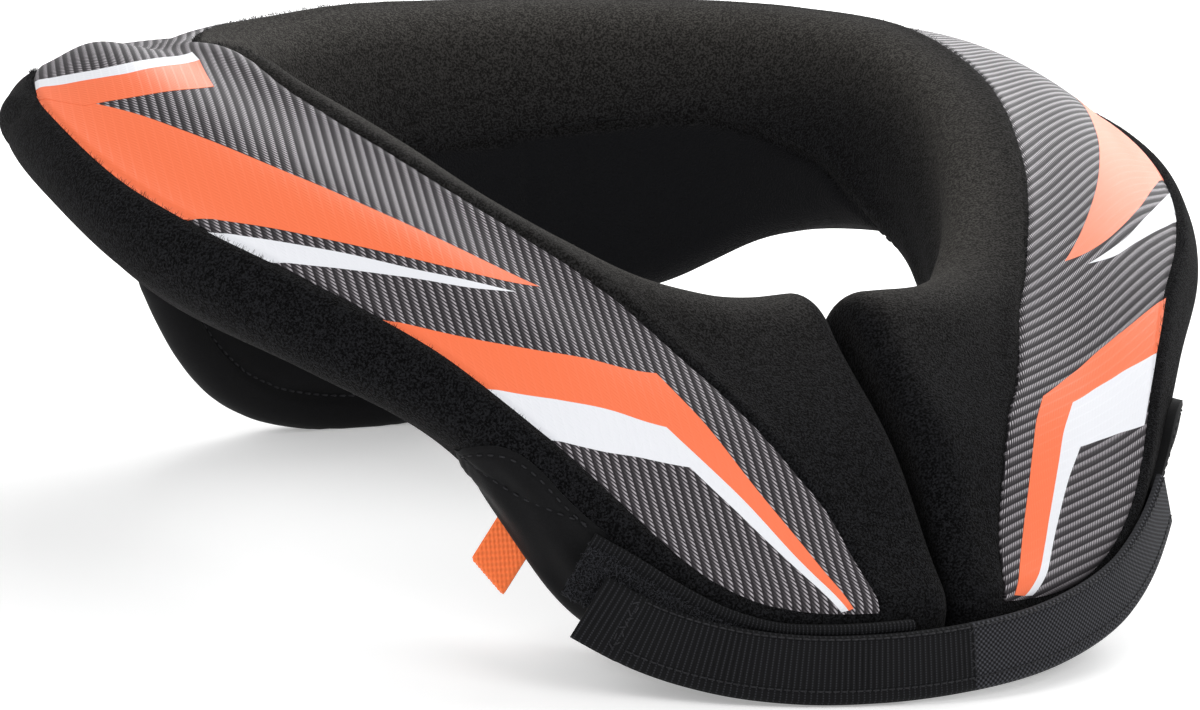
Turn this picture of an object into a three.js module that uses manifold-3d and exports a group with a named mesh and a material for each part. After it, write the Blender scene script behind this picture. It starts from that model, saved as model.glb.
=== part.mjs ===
// A motocross neck roll: a padded collar that opens at the front, with a woven top panel,
// a rear lobe, and a strap that closes the front over a strip of loop tape.
// Millimetres, +Z up. The shape is laid out as it is worn, round an upright neck axis, with the
// front slit towards -Y, and is then tipped back until it rests on its front and its rear lobe.
import * as THREE from 'three';
import { mergeVertices } from 'three/addons/utils/BufferGeometryUtils.js';
import Module from 'manifold-3d';

const wasm = await Module();
wasm.setup();

// The collar's sections, one row per angle from the front, the same on both sides.
// Each section is a belt round four rolls: hole (inner lower edge), ridge (top), brim (outermost)
// and edge (outer lower edge). r is the distance from the neck axis. hole_r and hole_z are the
// roll's innermost and lowest, ridge_z the ridge's top, brim_r the brim's outermost,
// edge_z the edge's lowest.
const SECTION_COLUMNS = [
  'angle', 'hole_r', 'hole_z', 'ridge_r', 'ridge_z', 'brim_r', 'brim_z', 'edge_r', 'edge_z',
];
const SECTIONS = [
  [0, 93, 4, 88, 85, 135, 19, 124, 0],
  [20, 93, 5, 92, 86, 134.5, 22, 123, 1],
  [30, 91, 14, 94, 90, 135, 32, 122, 8],
  [40, 84, 38, 94, 98, 136, 50, 120, 24],
  [50, 78, 63, 94, 107, 139, 67, 118, 52],
  [63, 76, 77, 94, 119, 146, 83, 119, 68],
  [80, 76, 89, 96, 132, 152, 101, 122, 80],
  [95, 76, 93, 97, 141, 151, 114, 122, 88],
  [115, 76, 88, 98, 145, 140, 121, 117, 94],
  [135, 76, 76, 98, 147, 133, 122, 112, 96],
  [180, 76, 69, 97, 148, 128, 121, 109, 96],
];
const ROLL_RADIUS = { hole: 7, ridge: 13, brim: 11, edge: 6 };
// How far the padding swells out between the rolls.
const SWELL = { wall: 1.5, face: 3.5, band: 1, under: 1 };
const ARC_STEPS = { hole: 4, ridge: 5, brim: 5, edge: 4 };
const SIDE_STEPS = { wall: 3, face: 5, band: 3, under: 3 };
const PAD_ANGLES = [
  8, 13, 18, 23, 28, 32, 36, 40, 44, 48, 53, 59, 66, 74, 82, 90, 98, 107, 116, 126, 136, 147, 158, 169,
];

// The front slit: half of its width at the top and bottom, and how its ends are rounded.
const SLIT_HALF_TOP = 1.8;
const SLIT_HALF_BOTTOM = 1.2;
const SLIT_TOP_Z = 85;
const SLIT_FADE_ANGLE = 30;
const END_ROUND = 5;
const END_STEPS = 4;

// The woven panel on the upper face: its two seams as fractions of the way from ridge to brim.
const SEAM_COLUMNS = ['angle', 'inner', 'outer'];
const SEAMS = [
  [9, 0.9, 1],
  [11, 0.745, 1],
  [14, 0.62, 1],
  [17, 0.51, 1],
  [21, 0.4, 1],
  [26, 0.3, 0.97],
  [32, 0.205, 0.9],
  [39, 0.16, 0.86],
  [48, 0.13, 0.83],
  [60, 0.105, 0.815],
  [90, 0.11, 0.815],
  [120, 0.12, 0.83],
  [180, 0.12, 0.83],
];
const PANEL_ANGLES = [
  9, 10, 12, 14, 17, 21, 26, 31, 36, 41, 47, 53, 60, 68, 76, 84, 92, 100, 109, 119, 130, 142, 154, 167,
];
const PANEL_STEPS = 8;
const PANEL_TOP = 0.3;
const PANEL_THICKNESS = 1.5;
const GAP = 0.3;

// The rear lobe under the collar's back edge.
const FLAP_COLUMNS = ['angle', 'low_z', 'half_thickness'];
const FLAP = [
  [135, 82, 3],
  [139, 76, 4],
  [144, 67, 5],
  [149, 58, 5.5],
  [155, 49.5, 6],
  [162, 43.5, 6],
  [170, 40, 6],
  [180, 38.5, 6],
];
const FLAP_ARC_STEPS = 4;
const FLAP_SIDE_STEPS = 3;

// Straps: the middle line of each, as angle from the front (minus is the wearer's right), height,
// and the inner side's distance from the brim.
const STRAP_LINE = [
  [-36, 22.5, 2.4],
  [-31, 16, 2.4],
  [-24, 10.5, 2.4],
  [-17, 7.8, 2.4],
  [-9, 7, 2.4],
  [0, 8, 2.2],
  [12, 12, 1.4],
  [24, 19.5, 0.8],
  [32, 28, 0.5],
  [37, 35, 0.5],
];
const STRAP = { width: 15, thickness: 1.6, steps: 40 };
const LOOP_LINE = [
  [-37, 31.5, 0.4],
  [-33, 26, 0.4],
  [-29, 20, 0.4],
  [-24, 14, 0.4],
  [-19, 10.5, 0.4],
  [-14, 9.5, 0.4],
  [-5, 9.5, 0.4],
];
const LOOP = { width: 15, thickness: 1.6, steps: 22 };

// The reinforcing patches on the outer band, from the brim down to the lower edge.
const PATCH_COLUMNS = ['angle', 'top', 'low'];
const PATCH = [
  [38.5, -2, 0.95],
  [40, -2.5, 0.95],
  [42, -2, 0.95],
  [44, 1, 0.95],
  [46, 6, 0.95],
  [48, 11, 0.95],
];
const PATCH_THICKNESS = 1.2;
const PATCH_STEPS = 7;

// The pull tab: a ribbon folded double, below the wearer's right lower edge.
const TAB = { angle: -44, width: 10, length: 10, thickness: 2.4, slope: 0.85, drop: 1 };

// Where it rests: on the front's lower edge and on the rear lobe, each pressed flat a little.
const FRONT_REST = { y: -124, z: 0 };
const BACK_REST = { y: 109, z: 38.5 };
const PRESSED_FLAT = 0.8;
const PITCH = Math.atan2(BACK_REST.z - FRONT_REST.z, BACK_REST.y - FRONT_REST.y);

const FLEECE = new THREE.MeshStandardMaterial({ color: 0x1c1c1e, roughness: 0.95, metalness: 0 });
const TWILL = new THREE.MeshStandardMaterial({ color: 0x77757a, roughness: 0.75, metalness: 0 });
const WEBBING = new THREE.MeshStandardMaterial({ color: 0x222225, roughness: 0.8, metalness: 0 });
const LOOP_PILE = new THREE.MeshStandardMaterial({ color: 0x161617, roughness: 1, metalness: 0 });
const RIBBON = new THREE.MeshStandardMaterial({ color: 0xff7a33, roughness: 0.7, metalness: 0 });

// A smooth curve through a table's rows, level at both ends, read at x.
function smooth(xs, ys, x) {
  const last = xs.length - 1;
  let i = 0;
  while (i < last - 1 && x >= xs[i + 1]) i += 1;
  const slope = (k) => (ys[k + 1] - ys[k]) / (xs[k + 1] - xs[k]);
  const tangent = (k) => {
    if (k === 0 || k === last) return 0;
    const before = xs[k] - xs[k - 1];
    const after = xs[k + 1] - xs[k];
    return (slope(k - 1) * after + slope(k) * before) / (before + after);
  };
  const h = xs[i + 1] - xs[i];
  const t = (x - xs[i]) / h;
  const t2 = t * t;
  const t3 = t2 * t;
  return (2 * t3 - 3 * t2 + 1) * ys[i] + (t3 - 2 * t2 + t) * h * tangent(i)
    + (3 * t2 - 2 * t3) * ys[i + 1] + (t3 - t2) * h * tangent(i + 1);
}

// Straight lines through a table's rows, read at x.
function straight(xs, ys, x) {
  let i = 0;
  while (i < xs.length - 2 && x >= xs[i + 1]) i += 1;
  return ys[i] + ((ys[i + 1] - ys[i]) * (x - xs[i])) / (xs[i + 1] - xs[i]);
}

function readRow(columns, rows, angle, curve) {
  const xs = rows.map((row) => row[0]);
  const named = {};
  columns.forEach((name, k) => {
    named[name] = k === 0 ? angle : curve(xs, rows.map((row) => row[k]), angle);
  });
  return named;
}

// The four rolls of the section at an angle: their centres in (r, z) and their radii.
function rollsAt(angle, inset = 0) {
  const row = readRow(SECTION_COLUMNS, SECTIONS, Math.abs(angle), smooth);
  const R = ROLL_RADIUS;
  return [
    { name: 'hole', c: new THREE.Vector2(row.hole_r + R.hole, row.hole_z + R.hole), radius: R.hole - inset },
    { name: 'ridge', c: new THREE.Vector2(row.ridge_r, row.ridge_z - R.ridge), radius: R.ridge - inset },
    { name: 'brim', c: new THREE.Vector2(row.brim_r - R.brim, row.brim_z), radius: R.brim - inset },
    { name: 'edge', c: new THREE.Vector2(row.edge_r, row.edge_z + R.edge), radius: R.edge - inset },
  ];
}

// The direction that a belt's straight run from roll a to roll b faces.
function beltNormal(a, b) {
  const along = b.c.clone().sub(a.c);
  const span = along.length();
  along.divideScalar(span);
  const lean = (a.radius - b.radius) / span;
  const side = new THREE.Vector2(-along.y, along.x);
  return side.multiplyScalar(Math.sqrt(1 - lean * lean)).addScaledVector(along, lean);
}

function onRoll(roll, turn, lift = 0) {
  const reach = roll.radius + lift;
  return new THREE.Vector2(roll.c.x + reach * Math.cos(turn), roll.c.y + reach * Math.sin(turn));
}

// The closed outline of a section, as points in (r, z).
function outline(rolls) {
  const sides = ['wall', 'face', 'band', 'under'];
  const normals = rolls.map((roll, i) => beltNormal(roll, rolls[(i + 1) % rolls.length]));
  const points = [];
  rolls.forEach((roll, i) => {
    const next = rolls[(i + 1) % rolls.length];
    const from = normals[(i + rolls.length - 1) % rolls.length].angle();
    let sweep = (from - normals[i].angle()) % (2 * Math.PI);
    if (sweep < 0) sweep += 2 * Math.PI;
    const arcSteps = ARC_STEPS[roll.name];
    for (let k = 0; k <= arcSteps; k += 1) {
      points.push(onRoll(roll, from - (sweep * k) / arcSteps));
    }
    const sideSteps = SIDE_STEPS[sides[i]];
    const start = onRoll(roll, normals[i].angle());
    const end = onRoll(next, normals[i].angle());
    for (let k = 1; k < sideSteps; k += 1) {
      const t = k / sideSteps;
      const swell = SWELL[sides[i]] * Math.sin(Math.PI * t) ** 2;
      points.push(start.clone().lerp(end, t).addScaledVector(normals[i], swell));
    }
  });
  return points;
}

// A point on the upper face: part 0 is the ridge's top, part 1 the brim's outermost.
function onFace(angle, part, lift) {
  const [, ridge, brim] = rollsAt(angle);
  const normal = beltNormal(ridge, brim);
  const turn = normal.angle();
  const start = onRoll(ridge, turn);
  const end = onRoll(brim, turn);
  const ridgeLength = ridge.radius * (Math.PI / 2 - turn);
  const faceLength = start.distanceTo(end);
  const brimLength = brim.radius * turn;
  const along = part * (ridgeLength + faceLength + brimLength);
  if (along < ridgeLength) return onRoll(ridge, Math.PI / 2 - along / ridge.radius, lift);
  if (along > ridgeLength + faceLength) {
    return onRoll(brim, turn - (along - ridgeLength - faceLength) / brim.radius, lift);
  }
  const t = (along - ridgeLength) / faceLength;
  const swell = SWELL.face * Math.sin(Math.PI * t) ** 2;
  return start.lerp(end, t).addScaledVector(normal, swell + lift);
}

// A point on the outer band, along millimetres down from the brim's outermost.
function onBand(angle, along, lift) {
  const [, , brim, edge] = rollsAt(angle);
  const normal = beltNormal(brim, edge);
  const fall = -Math.atan2(normal.y, normal.x);
  const brimLength = brim.radius * fall;
  const start = onRoll(brim, -fall);
  const end = onRoll(edge, -fall);
  const bandLength = start.distanceTo(end);
  if (along < brimLength) return onRoll(brim, -along / brim.radius, lift);
  if (along > brimLength + bandLength) {
    return onRoll(edge, -fall - (along - brimLength - bandLength) / edge.radius, lift);
  }
  const t = (along - brimLength) / bandLength;
  const swell = SWELL.band * Math.sin(Math.PI * t) ** 2;
  return start.lerp(end, t).addScaledVector(normal, swell + lift);
}

// How far it is on the outer band from the brim's outermost to the edge's lowest.
function bandSpan(angle) {
  const [, , brim, edge] = rollsAt(angle);
  const normal = beltNormal(brim, edge);
  const fall = -Math.atan2(normal.y, normal.x);
  return brim.radius * fall + onRoll(brim, -fall).distanceTo(onRoll(edge, -fall))
    + edge.radius * (Math.PI / 2 - fall);
}

// A point of the worn collar: angle from the front, minus for the wearer's right, and (r, z).
// Near the front both halves move apart to leave the slit.
function place(angle, rz) {
  const side = Math.sign(angle) || 1;
  const turn = THREE.MathUtils.degToRad(angle);
  const fade = 1 - THREE.MathUtils.smoothstep(Math.abs(angle), 0, SLIT_FADE_ANGLE);
  const height = THREE.MathUtils.clamp(rz.y / SLIT_TOP_Z, 0, 1);
  const half = THREE.MathUtils.lerp(SLIT_HALF_BOTTOM, SLIT_HALF_TOP, height);
  return new THREE.Vector3(rz.x * Math.sin(turn) + side * half * fade, -rz.x * Math.cos(turn), rz.y);
}

function placeFree(angle, rz) {
  const turn = THREE.MathUtils.degToRad(angle);
  return new THREE.Vector3(rz.x * Math.sin(turn), -rz.x * Math.cos(turn), rz.y);
}

// Geometry from points and triangles, turned so that its faces point out.
function closedGeometry(points, triangles) {
  let volume = 0;
  for (let i = 0; i < triangles.length; i += 3) {
    const [a, b, c] = [0, 1, 2].map((k) => points[triangles[i + k]]);
    volume += a.dot(b.clone().cross(c));
  }
  if (volume < 0) triangles.reverse();
  const geometry = new THREE.BufferGeometry().setFromPoints(points);
  geometry.setIndex(triangles);
  return geometry;
}

// A solid through closed loops of equally many points, with a fan at each end.
function loft(loops) {
  const count = loops[0].length;
  const points = loops.flat();
  const triangles = [];
  for (let i = 0; i + 1 < loops.length; i += 1) {
    for (let j = 0; j < count; j += 1) {
      const a = i * count + j;
      const b = i * count + ((j + 1) % count);
      triangles.push(a, b, b + count, a, b + count, a + count);
    }
  }
  const fan = (start, flip) => {
    const middle = new THREE.Vector3();
    for (let j = 0; j < count; j += 1) middle.addScaledVector(points[start + j], 1 / count);
    const centre = points.push(middle) - 1;
    for (let j = 0; j < count; j += 1) {
      const a = start + j;
      const b = start + ((j + 1) % count);
      triangles.push(centre, flip ? a : b, flip ? b : a);
    }
  };
  fan(0, false);
  fan((loops.length - 1) * count, true);
  return closedGeometry(points, triangles);
}

// A sheet with a thickness: a grid of outer points over a grid of inner points.
function sheet(outer, inner) {
  const rows = outer.length;
  const columns = outer[0].length;
  const loops = outer.map((row, i) => [...row, ...[...inner[i]].reverse()]);
  const count = 2 * columns;
  const points = loops.flat();
  const triangles = [];
  for (let i = 0; i + 1 < rows; i += 1) {
    for (let j = 0; j < count; j += 1) {
      const a = i * count + j;
      const b = i * count + ((j + 1) % count);
      triangles.push(a, b, b + count, a, b + count, a + count);
    }
  }
  const end = (start, flip) => {
    for (let j = 0; j + 1 < columns; j += 1) {
      const quad = [start + j, start + j + 1, start + count - 2 - j, start + count - 1 - j];
      const [a, b, c, d] = flip ? quad : [...quad].reverse();
      triangles.push(a, b, c, a, c, d);
    }
  };
  end(0, false);
  end((rows - 1) * count, true);
  return closedGeometry(points, triangles);
}

function solidFrom(geometry) {
  const bare = geometry.clone();
  bare.deleteAttribute('normal');
  bare.deleteAttribute('uv');
  const merged = mergeVertices(bare, 1e-4);
  const vertProperties = new Float32Array(merged.getAttribute('position').array);
  const triVerts = new Uint32Array(merged.index.array);
  return new wasm.Manifold(new wasm.Mesh({ numProp: 3, vertProperties, triVerts }));
}

function geometryFrom(solid) {
  const { vertProperties, triVerts, numProp } = solid.getMesh();
  const points = [];
  for (let i = 0; i < vertProperties.length; i += numProp) {
    points.push(new THREE.Vector3(vertProperties[i], vertProperties[i + 1], vertProperties[i + 2]));
  }
  return closedGeometry(points, Array.from(triVerts));
}

// Every angle right round, from the slit's one end by the back to its other end.
function roundTheBack(halfAngles) {
  return [...halfAngles.map((a) => -a), -180, ...[...halfAngles].reverse()];
}

function spread(from, to, steps) {
  return Array.from({ length: steps + 1 }, (_, i) => from + ((to - from) * i) / steps);
}

// The block under the surface that the collar rests on, which presses its soft underside flat.
function floorBlock() {
  const block = new THREE.BoxGeometry(500, 500, 40);
  block.translate(0, 0, PRESSED_FLAT - 20);
  block.rotateX(PITCH);
  block.translate(0, FRONT_REST.y, FRONT_REST.z);
  return solidFrom(block);
}

// The woven panel as a sheet between two depths, grown sideways by a margin.
function panelSheet(top, bottom, margin) {
  const angles = PANEL_ANGLES.map((a, i) => (i === 0 ? a - margin / 2 : a));
  const grid = (lift) => roundTheBack(angles).map((angle) => {
    const reach = Math.abs(angle);
    const seam = readRow(SEAM_COLUMNS, SEAMS, Math.max(reach, SEAMS[0][0]), straight);
    const grow = margin / 70;
    return spread(seam.inner - grow, seam.outer + grow, PANEL_STEPS)
      .map((part) => place(angle, onFace(reach, part, lift)));
  });
  return sheet(grid(top), grid(bottom));
}

// The whole padded ring with its rounded ends at the slit, grown outwards by a margin.
function padSolid(margin) {
  const ends = Array.from({ length: END_STEPS }, (_, i) => i / END_STEPS);
  const endAngle = THREE.MathUtils.radToDeg(END_ROUND / SECTIONS[0][3]);
  const inset = (angle) => {
    const t = Math.min(Math.abs(angle) / endAngle, 1);
    return END_ROUND * (1 - Math.sqrt(1 - (1 - t) ** 2));
  };
  const halfAngles = [...ends.map((t) => t ** 1.5 * endAngle), endAngle, ...PAD_ANGLES];
  const loops = roundTheBack(halfAngles).map((angle, i) => {
    const signed = angle === 0 ? (i === 0 ? -1e-9 : 1e-9) : angle;
    return outline(rollsAt(signed, inset(signed) - margin)).map((rz) => place(signed, rz));
  });
  return solidFrom(loft(loops));
}

function collarPad() {
  const pocket = panelSheet(PANEL_TOP + 2, PANEL_TOP - PANEL_THICKNESS - GAP, GAP);
  return geometryFrom(padSolid(0).subtract(solidFrom(pocket)).subtract(floorBlock()));
}

function topPanel() {
  return panelSheet(PANEL_TOP, PANEL_TOP - PANEL_THICKNESS, 0);
}

// The rear lobe: a belt round an upper and a lower roll, cut to fit under the collar's outer edge.
function backFlap() {
  const angles = FLAP.map((row) => row[0]);
  const half = angles.flatMap((a, i) => (i + 1 < angles.length ? [a, (a + angles[i + 1]) / 2] : []));
  const loops = [...half, 180, ...[...half].reverse().map((a) => 360 - a)].map((angle) => {
    const reach = angle > 180 ? 360 - angle : angle;
    const row = readRow(FLAP_COLUMNS, FLAP, reach, smooth);
    const section = readRow(SECTION_COLUMNS, SECTIONS, reach, smooth);
    const radius = row.half_thickness;
    const upper = { c: new THREE.Vector2(section.edge_r, section.edge_z), radius };
    const lower = { c: new THREE.Vector2(section.edge_r, row.low_z + radius), radius };
    const points = [];
    [[upper, 0], [lower, Math.PI]].forEach(([roll, turn]) => {
      for (let k = 0; k <= FLAP_ARC_STEPS; k += 1) {
        points.push(onRoll(roll, turn + Math.PI - (Math.PI * k) / FLAP_ARC_STEPS));
      }
      const other = roll === upper ? lower : upper;
      for (let k = 1; k < FLAP_SIDE_STEPS; k += 1) {
        points.push(onRoll(roll, turn).lerp(onRoll(other, turn), k / FLAP_SIDE_STEPS));
      }
    });
    return points.map((rz) => placeFree(angle, rz));
  });
  return geometryFrom(solidFrom(loft(loops)).subtract(padSolid(GAP)).subtract(floorBlock()));
}

// A flat strap wrapped round the brim along its middle line, cut square at both ends.
function strapSheet(line, { width, thickness, steps }) {
  const angles = line.map((row) => row[0]);
  const heights = line.map((row) => row[1]);
  const standOffs = line.map((row) => row[2]);
  const brim = (angle) => readRow(SECTION_COLUMNS, SECTIONS, Math.abs(angle), smooth).brim_r;
  const radius = brim(0);
  const unroll = THREE.MathUtils.degToRad(1) * radius;
  const flat = angles.map((a, i) => new THREE.Vector3(a * unroll, heights[i], 0));
  const curve = new THREE.CatmullRomCurve3(flat, false, 'centripetal');
  const grid = (lift) => spread(0, 1, steps).map((t) => {
    const middle = curve.getPointAt(t);
    const along = curve.getTangentAt(t);
    return [-width / 2, width / 2].map((across) => {
      const angle = (middle.x - along.y * across) / unroll;
      const z = middle.y + along.x * across;
      const standOff = straight(angles, standOffs, middle.x / unroll);
      return placeFree(angle, new THREE.Vector2(brim(angle) + standOff + lift, z));
    });
  });
  return sheet(grid(thickness), grid(0));
}

// A patch laid on the outer band, side -1 for the wearer's right.
function patchSheet(side) {
  const angles = spread(PATCH[0][0], PATCH[PATCH.length - 1][0], 8);
  const grid = (lift) => angles.map((angle) => {
    const row = readRow(PATCH_COLUMNS, PATCH, angle, straight);
    return spread(row.top, row.low * bandSpan(angle), PATCH_STEPS)
      .map((along) => placeFree(side * angle, onBand(angle, along, lift)));
  });
  return geometryFrom(solidFrom(sheet(grid(GAP + PATCH_THICKNESS), grid(-1))).subtract(padSolid(GAP)));
}

// The folded ribbon: a flat tongue square to the sloping lower edge.
function pullTab() {
  const { angle, width, length, thickness, slope, drop } = TAB;
  const section = readRow(SECTION_COLUMNS, SECTIONS, Math.abs(angle), smooth);
  const root = placeFree(angle, new THREE.Vector2(section.edge_r, section.edge_z));
  const turn = THREE.MathUtils.degToRad(angle);
  const outward = new THREE.Vector3(Math.sin(turn), -Math.cos(turn), 0);
  const forward = new THREE.Vector3(Math.cos(turn), Math.sin(turn), 0);
  const along = forward.clone().multiplyScalar(Math.cos(slope)).setZ(-Math.sin(slope));
  const down = forward.clone().multiplyScalar(-Math.sin(slope)).setZ(-Math.cos(slope));
  const grid = (lift) => [drop, drop + length].map((reach) => [-width / 2, width / 2].map((across) => (
    root.clone().addScaledVector(along, across).addScaledVector(down, reach).addScaledVector(outward, lift)
  )));
  return sheet(grid(thickness / 2), grid(-thickness / 2));
}

const worn = new THREE.Group();
function add(name, geometry, material) {
  const mesh = new THREE.Mesh(geometry, material);
  mesh.name = name;
  worn.add(mesh);
}

add('collar_pad', collarPad(), FLEECE);
add('top_panel', topPanel(), TWILL);
add('back_flap', backFlap(), FLEECE);
add('strap', strapSheet(STRAP_LINE, STRAP), WEBBING);
add('loop_strip', strapSheet(LOOP_LINE, LOOP), LOOP_PILE);
add('patch_right', patchSheet(-1), WEBBING);
add('patch_left', patchSheet(1), WEBBING);
add('pull_tab', pullTab(), RIBBON);

// Tip the worn collar back onto the surface, with its box's bottom centre at the origin.
const neckRoll = new THREE.Group();
neckRoll.name = 'motocross_neck_roll';
worn.rotation.x = -PITCH;
neckRoll.add(worn);
neckRoll.updateMatrixWorld(true);
const box = new THREE.Box3().setFromObject(neckRoll, true);
const centre = box.getCenter(new THREE.Vector3());
worn.position.set(-centre.x, -centre.y, -box.min.z);

export default neckRoll;
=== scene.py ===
"""The looks of a motocross neck roll: fleece, woven panels, printed stripes, webbing and stitching."""

import math

import bpy
import numpy as np
from mathutils import Matrix


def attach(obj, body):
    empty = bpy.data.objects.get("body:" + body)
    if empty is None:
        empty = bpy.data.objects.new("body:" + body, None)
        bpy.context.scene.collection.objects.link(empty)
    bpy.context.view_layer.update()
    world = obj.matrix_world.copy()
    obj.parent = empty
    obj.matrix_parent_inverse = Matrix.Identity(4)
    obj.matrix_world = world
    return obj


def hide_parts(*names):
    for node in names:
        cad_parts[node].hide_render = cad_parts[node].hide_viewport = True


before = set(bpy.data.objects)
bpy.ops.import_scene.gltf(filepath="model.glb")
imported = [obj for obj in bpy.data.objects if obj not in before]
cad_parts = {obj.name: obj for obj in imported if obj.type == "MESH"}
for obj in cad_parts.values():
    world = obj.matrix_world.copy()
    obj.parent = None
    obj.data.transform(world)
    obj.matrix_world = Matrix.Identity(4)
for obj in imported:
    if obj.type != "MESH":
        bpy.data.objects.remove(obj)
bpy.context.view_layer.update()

bl_info = {
    "name": "Motocross neck roll",
    "version": (1, 0, 0),
    "blender": (4, 5, 0),
    "location": "View3D > Sidebar > Neck roll",
    "description": "Dresses a padded neck roll in fleece, woven panels, printed stripes and webbing",
    "category": "Object",
}

# Sizes are millimetres in the worn frame: angles run from the front, minus for the wearer's right.
MM = 0.001
SHARPEST_SMOOTH = math.radians(55)

# The padding's section round the neck, as in the part: hole edge, ridge, brim and outer edge.
SECTION_COLUMNS = ("angle", "hole_r", "hole_z", "ridge_r", "ridge_z", "brim_r", "brim_z", "edge_r", "edge_z")
SECTIONS = np.array([
    [0, 93, 4, 88, 85, 135, 19, 124, 0],
    [20, 93, 5, 92, 86, 134.5, 22, 123, 1],
    [30, 91, 14, 94, 90, 135, 32, 122, 8],
    [40, 84, 38, 94, 98, 136, 50, 120, 24],
    [50, 78, 63, 94, 107, 139, 67, 118, 52],
    [63, 76, 77, 94, 119, 146, 83, 119, 68],
    [80, 76, 89, 96, 132, 152, 101, 122, 80],
    [95, 76, 93, 97, 141, 151, 114, 122, 88],
    [115, 76, 88, 98, 145, 140, 121, 117, 94],
    [135, 76, 76, 98, 147, 133, 122, 112, 96],
    [180, 76, 69, 97, 148, 128, 121, 109, 96],
], float)
ROLL_RADII = np.array([7.0, 13.0, 11.0, 6.0])
CENTRE_OFFSETS = np.array([[7.0, 7.0], [0.0, -13.0], [-11.0, 0.0], [0.0, 6.0]])
SWELL = np.array([1.5, 3.5, 1.0, 1.0])
# The rolls' numbers; roll 0 is the hole's.
RIDGE, BRIM, EDGE = 1, 2, 3

# The slit at the front: how far each lobe stands aside at its top and bottom, its rounded end and its lean.
SLIT = {
    -1: {"top": 4.0, "bottom": -1.6, "end_round": 3.5},
    1: {"top": 3.5, "bottom": 2.4, "end_round": 6.5},
}
SLIT_TOP_Z = 85.0
SLIT_FADE_ANGLE = 30.0
SMALLEST_ROLL = 0.6
END_FLAT_ANGLE = 4.0
END_RINGS = (0.75, 0.5, 0.25, 0.05)
LOBE_FORWARD = {-1: -2.5, 1: 3.0}
LOBE_ANGLES = (4.0, 38.0)
LOBE_HEIGHTS = (10.0, SLIT_TOP_Z)

# How the soft ring has settled: it stands a little lower at the wearer's right rear and wider at the left.
SETTLING_COLUMNS = ("angle", "ridge_rise", "brim_out", "brim_rise")
SETTLING = np.array([
    [-180, -1.5, 0, 0],
    [-150, -5, 0, 0],
    [-120, -6, 0, 0.8],
    [-105, -4, -1, 4.5],
    [-92, -2, -1, 2.8],
    [-78, -1, 0, 0],
    [-60, 0, 0, 0],
    [40, 0, -0.6, 0],
    [55, 0, -0.6, 0],
    [70, 0, 1.5, 0],
    [85, 0, 3, 0.3],
    [100, 0, 2, 0.3],
    [130, 0.5, 0.5, 0],
    [180, -1.5, 0, 0],
])
SETTLING_RADII = (102.0, 138.0)
SETTLING_HEIGHTS = (70.0, 125.0)

# How the worn collar is tipped back onto the surface that it rests on.
FRONT_REST = (-124.0, 0.0)
BACK_REST = (109.0, 38.5)
PITCH = math.atan2(BACK_REST[1] - FRONT_REST[1], BACK_REST[0] - FRONT_REST[0])
PRESSED_FLAT = 0.8
CENTRE_SHIFT = -4.6004
FLOOR_CLEARANCE = 0.15

# The woven panel's seams on each side, as parts of the way from the ridge's top to the brim's outermost.
SEAM_COLUMNS = ("angle", "inner", "outer")
SEAMS = {
    -1: np.array([
        [7.6, 1.0, 1.0],
        [9, 0.9, 1.0],
        [11, 0.745, 1.0],
        [14, 0.62, 1.0],
        [17, 0.51, 1.0],
        [21, 0.4, 1.0],
        [26, 0.3, 0.97],
        [32, 0.205, 0.9],
        [39, 0.16, 0.86],
        [48, 0.13, 0.83],
        [60, 0.105, 0.815],
        [70, 0.08, 0.815],
        [80, 0.045, 0.816],
        [90, 0.0, 0.818],
        [96, -0.012, 0.808],
        [101, -0.02, 0.785],
        [106, -0.023, 0.75],
        [114, -0.027, 0.74],
        [125, -0.03, 0.78],
        [150, 0.02, 0.83],
        [180, 0.08, 0.83],
    ]),
    1: np.array([
        [4.9, 1.0, 1.0],
        [6.8, 0.855, 1.0],
        [8.5, 0.74, 1.0],
        [10.8, 0.62, 1.0],
        [14.2, 0.505, 1.0],
        [19.2, 0.41, 1.0],
        [23.8, 0.32, 0.99],
        [28.5, 0.235, 0.965],
        [34, 0.19, 0.92],
        [39, 0.16, 0.875],
        [44, 0.142, 0.84],
        [50, 0.125, 0.815],
        [60, 0.105, 0.815],
        [90, 0.11, 0.815],
        [120, 0.11, 0.83],
        [150, 0.1, 0.83],
        [180, 0.08, 0.83],
    ]),
}
PANEL_TIP_ANGLE = {-1: 8.3, 1: 5.6}
PANEL_LIFT = 0.5
PANEL_THICKNESS = 1.2
PANEL_EDGE_DIP = 0.5
PANEL_EDGE_WIDTH = 0.9
PANEL_MIDDLE = 0.5
PANEL_COLUMNS = 64
EDGE_CROWDING = 0.8
BACK_SEAM = (177.8, 178.4, 178.9, 179.3, 179.6, 179.85)
BACK_SEAM_DIP = 1.2
BACK_SEAM_WIDTH = 0.7
FACE_RADIUS = 125.0
SEAM_STEP = 0.5

# The fleece beside the panel: a groove, a soft lip that fades at the front and at one tip, and a tucked edge.
LIP_HEIGHT = 0.9
LIP_PLACE = 2.6
LIP_WIDTH = 2.6
LIP_ANGLES = (9.0, 24.0)
LIP_GROOVE = 0.4
LIP_GROOVE_WIDTH = 0.95
TIP_LIP_ANGLE = -108.0
TIP_LIP_WIDTH = 9.0
TIP_LIP_LOSS = 0.9
TUCKED_UNDER = 2.6
TUCK_WIDTH = 1.6

# Places q of the section where a painted highlight lightens the cover's ridge, and where its lower rim is
# worn.
RIDGE_HIGHLIGHT_PLACE = 2.35
RIDGE_HIGHLIGHT_WIDTH = 0.5
RIM_START = (5.9, 5.96)
RIM_END = (6.62, 6.75)
RIM_ANGLES = (50.0, 62.0)
UNEVENNESS = 0.35

# Places q between which the cover has the panel's seams, and the wall's seam.
PANEL_PLACES = (1.5, 6.0)
WALL_PLACES = (0.4, 2.5)

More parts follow.
